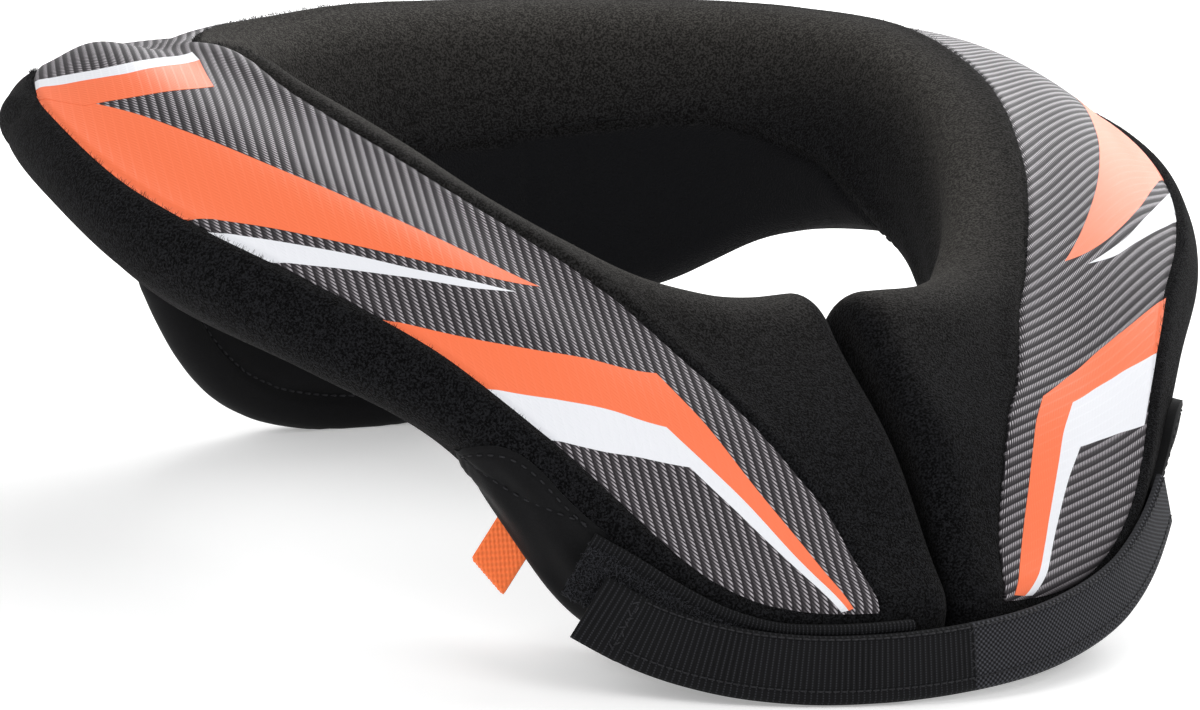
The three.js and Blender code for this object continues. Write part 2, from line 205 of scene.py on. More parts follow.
# How closely the cover and the panel are divided: rows towards the front and the back, and columns.
COVER_COUNTS = (9, 34, 22, 56, 22, 24, 9, 14)
FRONT_ANGLE = 40.0
END_STEPS = 12
COVER_STEP = 0.5
COVER_BACK_ROWS = 156
PANEL_STEP = 0.45
PANEL_BACK_ANGLE = 177.0
PANEL_BACK_ROWS = 172
FLAT_STEPS = 721
BESIDE_STEP = 0.01
STRIPE_FINE = 600
STRIPE_ROWS = 90
STRIPE_COLUMNS = 14

# The directions of the twill's ribs on each side, and how far the cloth is skewed along the collar.
RIB_ANGLE = {-1: 107.0, 1: 161.0}
SKEW_COLUMNS = ("angle", "degrees")
SKEW = {
    -1: np.array([[0, 0], [30, 3], [50, 7.3], [75, 10.5], [180, 10.5]]),
    1: np.array([[0, 0], [28, 1], [40, 8], [55, 9], [68, 3], [80, -3], [180, -3]]),
}
RIB_CLOSENESS = {-1: 1.0, 1: 1.1}
YARN_CLOSENESS = {-1: 0.68, 1: 1.0}

# The seam across the neck hole's wall in rows of (angle, height), and the pleats below it, of (angle, width).
WALL_SEAM = np.array([[62, 70], [79, 88], [100, 107], [115, 114], [127, 117], [156, 114], [180, 111]], float)
PLEAT_DEPTH = 0.9
WALL_PLEATS = np.array([[150, 1.875], [158, 1.375], [-152, 1.625], [-163, 1.375]])

# The fold in the outer band at the wearer's right tip: its angle at the band's start, and its lean.
CREASE_ANGLE = 107.0
CREASE_LEAN = 13.0

# Printed stripes; sides are -1 for the wearer's right and 1 for the left.
# Rows are (angle, part of the face); an edge's tail goes on from its first stretch past a sharp corner.
# The orange and the white bend of a side share an edge, and so do the bars.
RIGHT_SHARED = [(45.5, 0.84), (38.8, 0.705), (33, 0.61), (28.2, 0.575)]
RIGHT_SHARED_TAIL = [(28.2, 0.575), (25, 0.63), (20, 0.73), (15.5, 0.86), (11.5, 0.99)]
LEFT_SHARED = [(44.8, 0.84), (40.5, 0.753), (35.8, 0.665), (31, 0.592), (26.2, 0.555)]
LEFT_SHARED_TAIL = [
    (26.2, 0.555), (22.5, 0.602), (19.5, 0.675), (16, 0.78),
    (13.4, 0.865), (11, 0.935), (8.2, 0.99),
]
BAR_SHARED = [
    (97, 0.725), (94.9, 0.645), (93, 0.57), (91.5, 0.49),
    (91.2, 0.395), (92.1, 0.27), (93.8, 0.15),
]
STRIPES = {
    "orange_blade": {
        "colour": "orange",
        "sides": (-1, 1),
        "upper": [(97.5, 0.815), (91.8, 0.695)],
        "lower": [(73.8, 0.832), (71.5, 0.77)],
        "upper_tail": [
            (91.8, 0.695), (84, 0.57), (78.2, 0.51), (67, 0.455),
            (56.5, 0.41), (49.2, 0.37), (41.8, 0.32),
        ],
        "lower_tail": [
            (71.5, 0.77), (68.5, 0.72), (60.5, 0.62), (55.2, 0.557),
            (50.5, 0.49), (45.8, 0.405), (41.8, 0.32),
        ],
    },
    "white_blade": {
        "colour": "white",
        "sides": (-1, 1),
        "upper": [(71.2, 0.825), (66.2, 0.74), (61, 0.667), (53, 0.57), (44, 0.412)],
        "lower": [(65.5, 0.825), (60.5, 0.728), (54.5, 0.63), (48.2, 0.52), (44, 0.412)],
    },
    "orange_bend_right": {
        "colour": "orange",
        "sides": (-1,),
        "upper": [(55, 0.822), (50.2, 0.75), (41, 0.585), (35, 0.475), (28.8, 0.4)],
        "lower": RIGHT_SHARED,
        "upper_tail": [(28.8, 0.4), (24.5, 0.5), (19.8, 0.65), (15, 0.81), (11, 0.985)],
        "lower_tail": RIGHT_SHARED_TAIL,
    },
    "white_bend_right": {
        "colour": "white",
        "sides": (-1,),
        "upper": RIGHT_SHARED,
        "lower": [(39.5, 0.858), (35, 0.775), (31, 0.71), (26, 0.67)],
        "upper_tail": RIGHT_SHARED_TAIL,
        "lower_tail": [(26, 0.67), (21.2, 0.76), (16.5, 0.87), (12.2, 0.995)],
    },
    "orange_bend_left": {
        "colour": "orange",
        "sides": (1,),
        "upper": [(52, 0.825), (44.5, 0.695), (38.5, 0.6), (33, 0.525), (27.5, 0.488), (21.8, 0.48)],
        "lower": LEFT_SHARED,
        "upper_tail": [(21.8, 0.48), (18.5, 0.53), (15.8, 0.605), (12.5, 0.732), (9.5, 0.862), (6.6, 0.985)],
        "lower_tail": LEFT_SHARED_TAIL,
    },
    "white_bend_left": {
        "colour": "white",
        "sides": (1,),
        "upper": LEFT_SHARED,
        "lower": [(36.8, 0.875), (35.2, 0.835), (32, 0.765), (28.2, 0.71), (24.5, 0.675)],
        "upper_tail": LEFT_SHARED_TAIL,
        "lower_tail": [(24.5, 0.675), (21, 0.722), (16.8, 0.815), (14.2, 0.885), (12.4, 0.935), (9.4, 0.992)],
    },
    "white_bar": {
        "colour": "white",
        "sides": (-1,),
        "upper": [
            (101, 0.78), (99, 0.71), (96.8, 0.635), (94.9, 0.56),
            (93.7, 0.475), (93.7, 0.375), (95.8, 0.24), (98.5, 0.115),
        ],
        "lower": [(98.7, 0.795), *BAR_SHARED],
    },
    "orange_bar": {
        "colour": "orange",
        "sides": (-1,),
        "raised": 0.03,
        "upper": [(98.7, 0.795), (98, 0.76)],
        "lower": [(96.5, 0.81), (91, 0.7)],
        "upper_tail": [(98, 0.76), *BAR_SHARED],
        "lower_tail": [
            (91, 0.7), (89.7, 0.64), (88.2, 0.575), (86.9, 0.505),
            (85.9, 0.425), (85.3, 0.34), (85.2, 0.25),
        ],
    },
}
PRINT_LIFT = 0.06
PRINT_DEPTH = 0.2
PART_WEIGHT = 45.0

# The rear lobe below the collar's outer edge; the angles of its ends run on past 180 at the back.
FLAP_COLUMNS = ("angle", "low_z", "half_thickness")
FLAP = np.array([
    [135, 82, 3],
    [139, 76, 4],
    [144, 67, 5],
    [149, 58, 5.5],
    [155, 49.5, 6],
    [162, 43.5, 6],
    [170, 40, 6],
    [180, 38.5, 6],
], float)
FLAP_RISE = 4.0
FLAP_ENDS = (135.0, 225.0)
FLAP_ROWS = 219
FLAP_COUNTS = (10, 44, 16, 44)
BORDER_DEPTH = 9.0
BORDER_ENDS = (140.0, 220.0)

# The front strap and the loop strip beneath it: middle lines in rows of (angle, height, stand-off).
STRAP_LINE = np.array([
    [-36, 22.5, 2.4],
    [-31, 16, 2.4],
    [-24, 10.5, 2.4],
    [-17, 7.8, 2.4],
    [-9, 7, 2.4],
    [0, 7.8, 2.6],
    [12, 11, 2.8],
    [24, 18.3, 2.4],
    [32, 27.5, 1.4],
    [37, 35, 0.8],
])
LOOP_LINE = np.array([
    [-37, 31.5, 0.4],
    [-33, 26, 0.4],
    [-29, 20, 0.4],
    [-24, 14, 0.4],
    [-19, 10.5, 0.4],
    [-14, 9.5, 0.4],
    [-5, 9.5, 0.4],
])
STRAP_WIDTH = 15.0
STRAP_THICKNESS = 1.6
STRAP_FOLD = 10.0
STRAP_JOIN = 90.0
STRAP_FOLD_LIFT = 0.8
STRAP_SEAMS = (-0.295, 0.455)
LOOP_THICKNESS = 0.7 * STRAP_THICKNESS
LOOP_BINDING = 0.415

# The reinforcing patches on the outer band: upper edge and lower seam, below the brim's outermost.
PATCH_COLUMNS = ("angle", "top", "seam")
PATCH = np.array([
    [34.5, 1.6, 2.4],
    [36.8, 1.4, 3.4],
    [38.6, 0.6, 5.4],
    [40.4, -0.8, 7.2],
    [42.1, -1.0, 8.8],
    [43.9, 0.4, 10],
    [45.6, 3.2, 10.8],
    [47.2, 6.8, 11.2],
    [48.6, 11, 11.6],
])
PATCH_LOW = 1.02
PATCH_LIFT = {-1: 0.8, 1: 2.6}
PATCH_HEM = 1.9
MM_PER_DEGREE = 2.3

# The pull tab: where it hangs, its size, and its slopes in radians.
TAB = {
    "angle": -44.0,
    "ahead": -0.4,
    "drop": -1.8,
    "hidden": 2.2,
    "width": 10.5,
    "length": 12.5,
    "thickness": 2.4,
    "ribbon": 0.7,
    "relief": 0.2,
    "slope": 0.85,
    "hang": 0.56,
}

# Stitches in millimetres: from stitch to stitch, length, width and height.
STRAP_STITCH = {"pitch": 1.9, "length": 1.6, "width": 0.4, "height": 0.18}
PATCH_STITCH = {"pitch": 2.5, "length": 1.3, "width": 0.42, "height": 0.2}

# Area lights in metres, aimed at the collar's middle.
LIGHTS = {
    "top light": {"place": (1.0, 0.65, 0.9), "size": 1.4},
    "side light": {"place": (-1.1, -0.2, 0.8), "size": 0.8},
    "front light": {"place": (0.5, -1.2, 0.9), "size": 0.9},
}
LIGHT_AIM = (0.0, 0.0, 0.06)
FLOOR_REACH = 6.0

# The camera in the worn frame: how far it swings round and stands above, its distance, aim and scale.
CAMERA_SWING = math.radians(35)
CAMERA_RISE = math.radians(4.2)
CAMERA_DISTANCE = 1300.0
CAMERA_HEIGHT = 78.0
CAMERA_LOWERED = 13.1
SENSOR_WIDTH = 36.0
PIXELS_PER_MM = 4.2
PIXELS_WIDE = 1200


# Curves

def smooth(xs, ys, x):
    """A Hermite curve through the rows, level at both ends, read at the array x."""
    steps = np.diff(xs)
    slopes = np.diff(ys) / steps
    tangents = np.zeros(len(xs))
    tangents[1:-1] = (slopes[:-1] * steps[1:] + slopes[1:] * steps[:-1]) / (steps[:-1] + steps[1:])
    i = np.clip(np.searchsorted(xs, x, side="right") - 1, 0, len(xs) - 2)
    t = np.clip((x - xs[i]) / steps[i], 0, 1)
    rise = 3 * t**2 - 2 * t**3
    leave = (t**3 - 2 * t**2 + t) * steps[i] * tangents[i]
    arrive = (t**3 - t**2) * steps[i] * tangents[i + 1]
    return ys[i] * (1 - rise) + ys[i + 1] * rise + leave + arrive


def ease(x, low, high):
    """A smooth step from 0 at low to 1 at high."""
    t = np.clip((x - low) / (high - low), 0, 1)
    return t * t * (3 - 2 * t)


def hump(x, middle, width, height=1.0):
    """A bell about middle: the exponential of minus the squared distance in widths."""
    return height * np.exp(-(((x - middle) / width) ** 2))


def read(rows, columns, name, x):
    """The named column of a table, read smoothly at the array x of its first column."""
    return smooth(rows[:, 0], rows[:, columns.index(name)], x)


def unit(vectors):
    """Vectors at length 1; a vector of no length stays as it is."""
    return vectors / (np.linalg.norm(vectors, axis=-1)[..., None] + 1e-9)


def path_lengths(path):
    """The length of a path up to each of its points."""
    return np.concatenate([[0], np.cumsum(np.linalg.norm(np.diff(path, axis=0), axis=1))])


def read_path(path, lengths, where):
    """A path's columns at places along its length."""
    return np.stack([np.interp(where, lengths, path[:, k]) for k in range(path.shape[1])], -1)


def curve_through(rows, fine, count):
    """Points at equal steps along a smooth curve through the rows, and the curve's length."""
    chords = path_lengths(rows)
    where = np.linspace(0, chords[-1], fine)
    curve = np.stack([smooth(chords, rows[:, k], where) for k in range(rows.shape[1])], -1)
    lengths = path_lengths(curve)
    return read_path(curve, lengths, np.linspace(0, lengths[-1], count)), lengths[-1]


# The padding's section

def rolls(angle):
    """Centres of the four rolls that the cover is belted round, in (r, z)."""
    reach = np.abs(angle)
    columns = [read(SECTIONS, SECTION_COLUMNS, name, reach) for name in SECTION_COLUMNS[1:]]
    pairs = [np.stack(columns[2 * i:2 * i + 2], -1) + CENTRE_OFFSETS[i] for i in range(len(ROLL_RADII))]
    return np.stack(pairs, -2)


def belt_turns(centres, radii):
    """The direction that each straight run from a roll to the next one faces."""
    along = np.roll(centres, -1, axis=-2) - centres
    span = np.linalg.norm(along, axis=-1)
    along = along / span[..., None]
    lean = (radii - np.roll(radii, -1, axis=-1)) / span
    side = np.stack([-along[..., 1], along[..., 0]], -1)
    normal = side * np.sqrt(1 - lean**2)[..., None] + along * lean[..., None]
    return np.arctan2(normal[..., 1], normal[..., 0])


def compass(turn):
    """The vector of length 1 that points along an angle: its cosine and its sine."""
    return np.stack([np.cos(turn), np.sin(turn)], -1)


def section(angle, q, inset=0.0):
    """A point of the section, the way it faces, and its reach in millimetres past the ridge's top.

    Place q counts clockwise: 0-1 hole roll, 1-2 wall, 2-3 ridge roll, 3-4 face, 4-5 brim roll, 5-6 band,
    6-7 edge roll, 7-8 underside. A roll's stretch is an arc; a straight run bulges by a squared sine.
    """
    angle, q, inset = np.broadcast_arrays(*(np.asarray(v, float) for v in (angle, q, inset)))
    centres = rolls(angle)
    radii = np.maximum(ROLL_RADII - inset[..., None], SMALLEST_ROLL)
    turns = belt_turns(centres, radii)
    point = np.zeros(angle.shape + (2,))
    facing = np.zeros_like(point)
    reach = np.zeros(angle.shape)
    length = np.zeros(angle.shape)
    start = np.zeros(angle.shape)
    for i in range(len(ROLL_RADII)):
        after = (i + 1) % len(ROLL_RADII)
        sweep = np.mod(turns[..., i - 1] - turns[..., i], 2 * np.pi)
        arc = np.clip(q - 2 * i, 0, 1)
        bend = turns[..., i] + sweep * (1 - arc)
        on_arc = (q >= 2 * i) & (q < 2 * i + 1)
        rolled = centres[..., i, :] + radii[..., i, None] * compass(bend)
        point = np.where(on_arc[..., None], rolled, point)
        facing = np.where(on_arc[..., None], compass(bend), facing)
        reach = np.where(on_arc, length + radii[..., i] * sweep * arc, reach)
        if i == RIDGE:
            start = length + radii[..., i] * (turns[..., i] + sweep - np.pi / 2)
        length = length + radii[..., i] * sweep
        normal = compass(turns[..., i])
        begin = centres[..., i, :] + radii[..., i, None] * normal
        end = centres[..., after, :] + radii[..., after, None] * normal
        run = np.clip(q - 2 * i - 1, 0, 1)
        on_run = (q >= 2 * i + 1) & (q <= 2 * i + 2)
        bulge = SWELL[i] * np.sin(np.pi * run) ** 2
        straight = begin + (end - begin) * run[..., None] + normal * bulge[..., None]
        span = np.linalg.norm(end - begin, axis=-1)
        point = np.where(on_run[..., None], straight, point)
        facing = np.where(on_run[..., None], normal, facing)
        reach = np.where(on_run, length + span * run, reach)
        length = length + span
    return point, facing, reach - start


# A run of the section that pieces lie on: the rolls that it joins and the ways that it faces at its two ends.
FACE = {"first": RIDGE, "after": BRIM, "starts": np.pi / 2, "ends": 0.0}
BAND = {"first": BRIM, "after": EDGE, "starts": 0.0, "ends": -np.pi / 2}


def straight_of(run, centres):
    """The straight stretch of a run: where it begins and ends, and the direction that it faces."""
    turn = belt_turns(centres, ROLL_RADII)[..., run["first"]]
    begin, end = (centres[..., i, :] + ROLL_RADII[i] * compass(turn) for i in (run["first"], run["after"]))
    return begin, end, turn


def run_span(run, angle):
    """Millimetres over a run: the first roll's arc, the straight stretch and the arc of the roll after."""
    begin, end, turn = straight_of(run, rolls(angle))
    before = ROLL_RADII[run["first"]] * (run["starts"] - turn)
    return before + np.linalg.norm(end - begin, axis=-1) + ROLL_RADII[run["after"]] * (turn - run["ends"])


def on_run(run, angle, along, lift):
    """A point (r, z) of a run, along millimetres from its start and lifted off it, and the way it faces."""
    angle, along, lift = np.broadcast_arrays(*(np.asarray(v, float) for v in (angle, along, lift)))
    first, after = run["first"], run["after"]
    centres = rolls(angle)
    begin, end, turn = straight_of(run, centres)
    normal = compass(turn)
    flat_start = ROLL_RADII[first] * (run["starts"] - turn)
    flat = np.linalg.norm(end - begin, axis=-1)
    first_way = compass(run["starts"] - along / ROLL_RADII[first])
    after_way = compass(turn - (along - flat_start - flat) / ROLL_RADII[after])
    share = np.clip((along - flat_start) / flat, 0, 1)
    bulge = SWELL[first] * np.sin(np.pi * share) ** 2
    middle = begin + (end - begin) * share[..., None] + normal * (bulge + lift)[..., None]
    before = (along < flat_start)[..., None]
    beyond = (along > flat_start + flat)[..., None]
    on_first = centres[..., first, :] + (ROLL_RADII[first] + lift)[..., None] * first_way
    on_after = centres[..., after, :] + (ROLL_RADII[after] + lift)[..., None] * after_way
    point = np.where(before, on_first, np.where(beyond, on_after, middle))
    facing = np.where(before, first_way, np.where(beyond, after_way, normal))
    return point, facing


def face_span(angle):
    """Millimetres over the face, from the ridge's top to the brim's outermost."""
    return run_span(FACE, angle)


def on_face(angle, part, lift):
    """A point (r, z) of the face and the way it faces; part runs from 0 on the ridge to 1 on the brim."""
    return on_run(FACE, angle, part * face_span(angle), lift)


# Placing

def round_neck(angle, rz):
    """A point, or a way that the section faces, in (r, z), at an angle round the neck."""
    turn = np.radians(angle)
    return np.stack([rz[..., 0] * np.sin(turn), -rz[..., 0] * np.cos(turn), rz[..., 1]], -1)


def place(angle, rz, side=None):
    """A point of the settled collar: near the front its halves part at the slit and the lobes lean.

    Settling is read by angle, for the ridge and the brim, and eases from one to the other across the ring.
    """
    side = np.where(np.asarray(angle) < 0, -1.0, 1.0) if side is None else side
    ridge_rise, brim_out, brim_rise = (
        read(SETTLING, SETTLING_COLUMNS, name, side * np.abs(angle)) for name in SETTLING_COLUMNS[1:]
    )
    outer = ease(rz[..., 0], *SETTLING_RADII)
    high = ease(rz[..., 1], *SETTLING_HEIGHTS)
    out = rz[..., 0] + brim_out * outer
    up = rz[..., 1] + ridge_rise * (1 - outer) * high + brim_rise * outer
    point = round_neck(angle, np.stack([out, up], -1))
    fade = 1 - ease(np.abs(angle), 0, SLIT_FADE_ANGLE)
    height = np.clip(rz[..., 1] / SLIT_TOP_Z, 0, 1)
    top, bottom = (np.where(side < 0, SLIT[-1][end], SLIT[1][end]) for end in ("top", "bottom"))
    half = bottom + (top - bottom) * height
    forward = np.where(side < 0, LOBE_FORWARD[-1], LOBE_FORWARD[1])
    lean = (1 - ease(np.abs(angle), *LOBE_ANGLES)) * ease(rz[..., 1], *LOBE_HEIGHTS)
    point[..., 0] += side * half * fade
    point[..., 1] -= forward * lean
    return point


def facing_away(path):
    """For each point of a path, the level direction away from the neck's middle."""
    return unit(path * np.array([1.0, 1.0, 0.0]))


def tip_back(points):
    """Worn points tipped back by the pitch onto the resting surface, in millimetres."""
    x, y, z = np.moveaxis(np.asarray(points, float), -1, 0)
    rest = FRONT_REST[0] * math.sin(-PITCH) + FRONT_REST[1] * math.cos(PITCH) + PRESSED_FLAT
    back = y * math.cos(PITCH) + z * math.sin(PITCH) + CENTRE_SHIFT
    up = -y * math.sin(PITCH) + z * math.cos(PITCH) - rest
    return np.stack([x, back, up], -1)


# Meshes

def grid_faces(rows, columns):
    """Quads between rings of points that are stored ring by ring."""
    i = np.arange(rows - 1)[:, None]
    j = np.arange(columns)[None, :]
    j_next = (j + 1) % columns
    corners = [i * columns + j, i * columns + j_next, (i + 1) * columns + j_next, (i + 1) * columns + j]
    return np.stack(np.broadcast_arrays(*corners), -1).reshape(-1, 4)


def tube_faces(rows, columns):
    """Faces of a tube of rings, closed by one face at each end."""
    ring = np.arange(columns)[None, :]
    return [grid_faces(rows, columns), ring[:, ::-1], ring + (rows - 1) * columns]


def signed_volume(points, faces):
    """Six times the volume inside closed faces, minus where they point inwards."""
    total = 0.0
    for group in faces:
        for k in range(1, group.shape[1] - 1):
            a, b, c = points[group[:, 0]], points[group[:, k]], points[group[:, k + 1]]
            total += np.einsum("ij,ij->", a, np.cross(b, c))
    return total


def make_piece(name, points, faces, material, uv=None, masks=None):
    """A mesh object from worn points and groups of faces, tipped back, turned outwards and shaded smooth."""
    points = tip_back(points.reshape(-1, 3))
    points[:, 2] = np.maximum(points[:, 2], FLOOR_CLEARANCE)
    if signed_volume(points - points.mean(0), faces) < 0:
        faces = [group[:, ::-1] for group in faces]
    corners = np.concatenate([group.ravel() for group in faces]).astype(np.int32)
    sizes = np.concatenate([np.full(len(group), group.shape[1]) for group in faces]).astype(np.int32)
    mesh = bpy.data.meshes.new(name)
    mesh.vertices.add(len(points))
    mesh.vertices.foreach_set("co", (points * MM).astype(np.float32).ravel())
    mesh.loops.add(len(corners))
    mesh.loops.foreach_set("vertex_index", corners)
    mesh.polygons.add(len(sizes))
    mesh.polygons.foreach_set("loop_start", np.concatenate([[0], np.cumsum(sizes)[:-1]]).astype(np.int32))
    mesh.update(calc_edges=True)
    mesh.shade_smooth()
    mesh.set_sharp_from_angle(angle=SHARPEST_SMOOTH)
    if uv is not None:
        layer = mesh.uv_layers.new(name="threads")
        layer.data.foreach_set("uv", uv.reshape(-1, 2)[corners].astype(np.float32).ravel())
    for mask, values in (masks or {}).items():
        attribute = mesh.attributes.new(mask, "FLOAT", "POINT")
        attribute.data.foreach_set("value", values.ravel().astype(np.float32))
    mesh.validate()
    mesh.materials.append(material)
    piece = bpy.data.objects.new(name, mesh)
    bpy.context.scene.collection.objects.link(piece)
    return piece


def finish_piece(piece, node=None):
    """Hang the piece on the root body and hide the part's node that it stands for."""
    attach(piece, "root")
    if node:
        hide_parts(node)
    return piece


def shell(outer, inner):
    """A closed sheet: a grid of outer points, one of inner points and the strips between their rims."""
    rows, columns = outer.shape[:2]
    loops = np.concatenate([outer, inner[:, ::-1]], axis=1)
    around = 2 * columns
    faces = [grid_faces(rows, around)]
    j = np.arange(columns - 1)
    for first, turn in ((0, 1), ((rows - 1) * around, -1)):
        end = np.stack([first + j, first + around - 1 - j, first + around - 2 - j, first + j + 1], -1)
        faces.append(end[:, ::turn])
    return loops.reshape(-1, 3), faces


def both_faces(threads):
    """A sheet's thread map, the same on both of its faces."""
    return np.concatenate([threads, threads[:, ::-1]], axis=1)


def sheet_piece(name, outer, inner, material, threads=None):
    """A closed sheet as a piece, with its thread map if it has one."""
    points, faces = shell(outer, inner)
    uv = None if threads is None else both_faces(threads)
    return make_piece(name, points, faces, material, uv=uv)


def flat_size(outer):
    """A sheet's greatest width, mean length and area in millimetres, measured on its grid of points."""
    steps = np.linalg.norm(np.diff(outer, axis=0), axis=-1).mean(1)
    widths = np.linalg.norm(np.diff(outer, axis=1), axis=-1).sum(1)
    area = float(np.sum(steps * (widths[1:] + widths[:-1]) / 2))
    return float(widths.max()), float(steps.sum()), area


# A stitch's rings: places along its half length, and their shares of its width.
BEAD_PROFILE = np.array([[-1, 0.3], [-0.75, 0.85], [0, 1], [0.75, 0.85], [1, 0.3]])
BEAD_SIDES = 6
BEAD_STEP = 0.3


def beads(paths, ups, pitch, length, width, height):
    """Stitches as flattened capsules along paths, one every pitch; ups are the ways out of the cloth."""
    points, faces, count = [], [], 0
    turns = np.arange(BEAD_SIDES) * 2 * np.pi / BEAD_SIDES
    per = len(BEAD_PROFILE) * BEAD_SIDES
    for path, up in zip(paths, ups):
        lengths = path_lengths(path)
        number = max(int(lengths[-1] / pitch), 1)
        middle = (np.arange(number) + 0.5) * lengths[-1] / number
        centre = read_path(path, lengths, middle)
        ahead, behind = (read_path(path, lengths, middle + step) for step in (BEAD_STEP, -BEAD_STEP))
        along = unit(ahead - behind)
        normal = read_path(up, lengths, middle)
        normal = unit(normal - along * np.sum(normal * along, axis=1)[:, None])
        across = np.cross(along, normal)
        ring = (across[:, None, None, :] * (np.cos(turns) * width / 2)[None, None, :, None]
                + normal[:, None, None, :] * (np.sin(turns) * height)[None, None, :, None])
        forward = along[:, None, None, :] * (BEAD_PROFILE[:, 0] * length / 2)[None, :, None, None]
        body = centre[:, None, None, :] + forward + ring * BEAD_PROFILE[:, 1][None, :, None, None]
        points.append(body.reshape(-1, 3))
        starts = (count + np.arange(number) * per)[:, None, None]
        for group in tube_faces(len(BEAD_PROFILE), BEAD_SIDES):
            faces.append((group[None] + starts).reshape(-1, group.shape[1]))
        count += number * per
    return np.concatenate(points), faces


# A fibre's seven points: three at its root, three at its middle and its tip.
HAIR_QUADS = np.array([[0, 1, 4, 3], [1, 2, 5, 4], [2, 0, 3, 5]])
HAIR_ENDS = np.array([[3, 4, 6], [4, 5, 6], [5, 3, 6], [2, 1, 0]])
HAIR_POINTS = 7
HAIR_TAPER = 0.7
HAIR_ASIDE = np.array([0.31, 0.57, 0.76])


def hairs(roots, tips, width, sag):
    """Fibres as thin bent three-sided spikes from roots to tips; sag is how far their middles are pushed."""
    along = unit(tips - roots)
    aside = unit(np.cross(along, HAIR_ASIDE))
    other = np.cross(along, aside)
    turns = np.arange(3) * 2 * np.pi / 3
    ring = aside[:, None] * np.cos(turns)[None, :, None] + other[:, None] * np.sin(turns)[None, :, None]
    middle = (roots + tips) / 2 + sag
    points = np.concatenate([
        roots[:, None] + ring * width,
        middle[:, None] + ring * width * HAIR_TAPER,
        tips[:, None],
    ], axis=1)
    starts = (np.arange(len(roots)) * HAIR_POINTS)[:, None, None]
    faces = [(group[None] + starts).reshape(-1, group.shape[1]) for group in (HAIR_QUADS, HAIR_ENDS)]
    return points.reshape(-1, 3), faces


# Shader helpers

def node_at(tree, kind, **settings):
    """A new shader node with its own settings."""
    node = tree.nodes.new(kind)
    for name, value in settings.items():
        setattr(node, name, value)
    return node


def feed(tree, socket, value):
    """Link a socket to a node's input, or set a plain value there."""
    if hasattr(value, "is_linked"):
        tree.links.new(value, socket)
    elif hasattr(value, "__len__"):
        socket.default_value = (*value, 1.0)
    else:
        socket.default_value = value


def maths(tree, operation, *values):
    """A Math node fed with values or sockets; gives its output socket."""
    node = node_at(tree, "ShaderNodeMath", operation=operation)
    for socket, value in zip(node.inputs, values):
        feed(tree, socket, value)
    return node.outputs[0]


def blend(tree, factor, low, high):
    """A mix of two colours by a factor socket; gives the colour socket."""
    node = node_at(tree, "ShaderNodeMix", data_type="RGBA")
    for socket, value in zip((node.inputs["Factor"], node.inputs[6], node.inputs[7]), (factor, low, high)):
        feed(tree, socket, value)
    return node.outputs[2]


def new_group(name, inputs, outputs):
    """An empty shader node group with float or vector inputs and float outputs."""
    group = bpy.data.node_groups.new(name, "ShaderNodeTree")
    for label, kind, value in inputs:
        socket = group.interface.new_socket(label, in_out="INPUT", socket_type=kind)
        if value is not None:
            socket.default_value = value
    for label, kind in outputs:
        group.interface.new_socket(label, in_out="OUTPUT", socket_type=kind)
    return group, node_at(group, "NodeGroupInput"), node_at(group, "NodeGroupOutput")


def limit(tree, value):
    """A value held between 0 and 1."""
    return maths(tree, "MINIMUM", maths(tree, "MAXIMUM", value, 0.0), 1.0)


def ramp(tree, value, start, gain):
    """How far a value is past start, times gain, held between 0 and 1."""
    return limit(tree, maths(tree, "MULTIPLY", maths(tree, "SUBTRACT", value, start), gain))


def wave(tree, value, length):
    """A sine of the value with the given wavelength."""
    return maths(tree, "SINE", maths(tree, "MULTIPLY", value, 2 * math.pi / length))


def split_map(tree, given):
    """The two parts of a group's incoming thread map."""
    split = node_at(tree, "ShaderNodeSeparateXYZ")
    tree.links.new(given.outputs["Vector"], split.inputs[0])
    return split.outputs[0], split.outputs[1]


def nap_group(name):
    """Short nap: fine and middling noise, as a height and a tint that lightens the fibres' tips."""
    group, given, result = new_group(
        name,
        [
            ("Vector", "NodeSocketVector", None),
            ("Fine", "NodeSocketFloat", 2000.0),
            ("Broad", "NodeSocketFloat", 600.0),
        ],
        [("Height", "NodeSocketFloat"), ("Tint", "NodeSocketFloat")],
    )
    shares = []
    for label, detail, share in (("Fine", 3.0, 0.82), ("Broad", 2.0, 0.18)):
        noise = node_at(group, "ShaderNodeTexNoise")
        noise.inputs["Detail"].default_value = detail
        noise.inputs["Roughness"].default_value = 0.6
        group.links.new(given.outputs["Vector"], noise.inputs["Vector"])
        group.links.new(given.outputs[label], noise.inputs["Scale"])
        shares.append(maths(group, "MULTIPLY", noise.outputs[0], share))
    height = maths(group, "ADD", *shares)
    group.links.new(height, result.inputs["Height"])
    group.links.new(ramp(group, height, start=0.44, gain=7.0), result.inputs["Tint"])
    return group


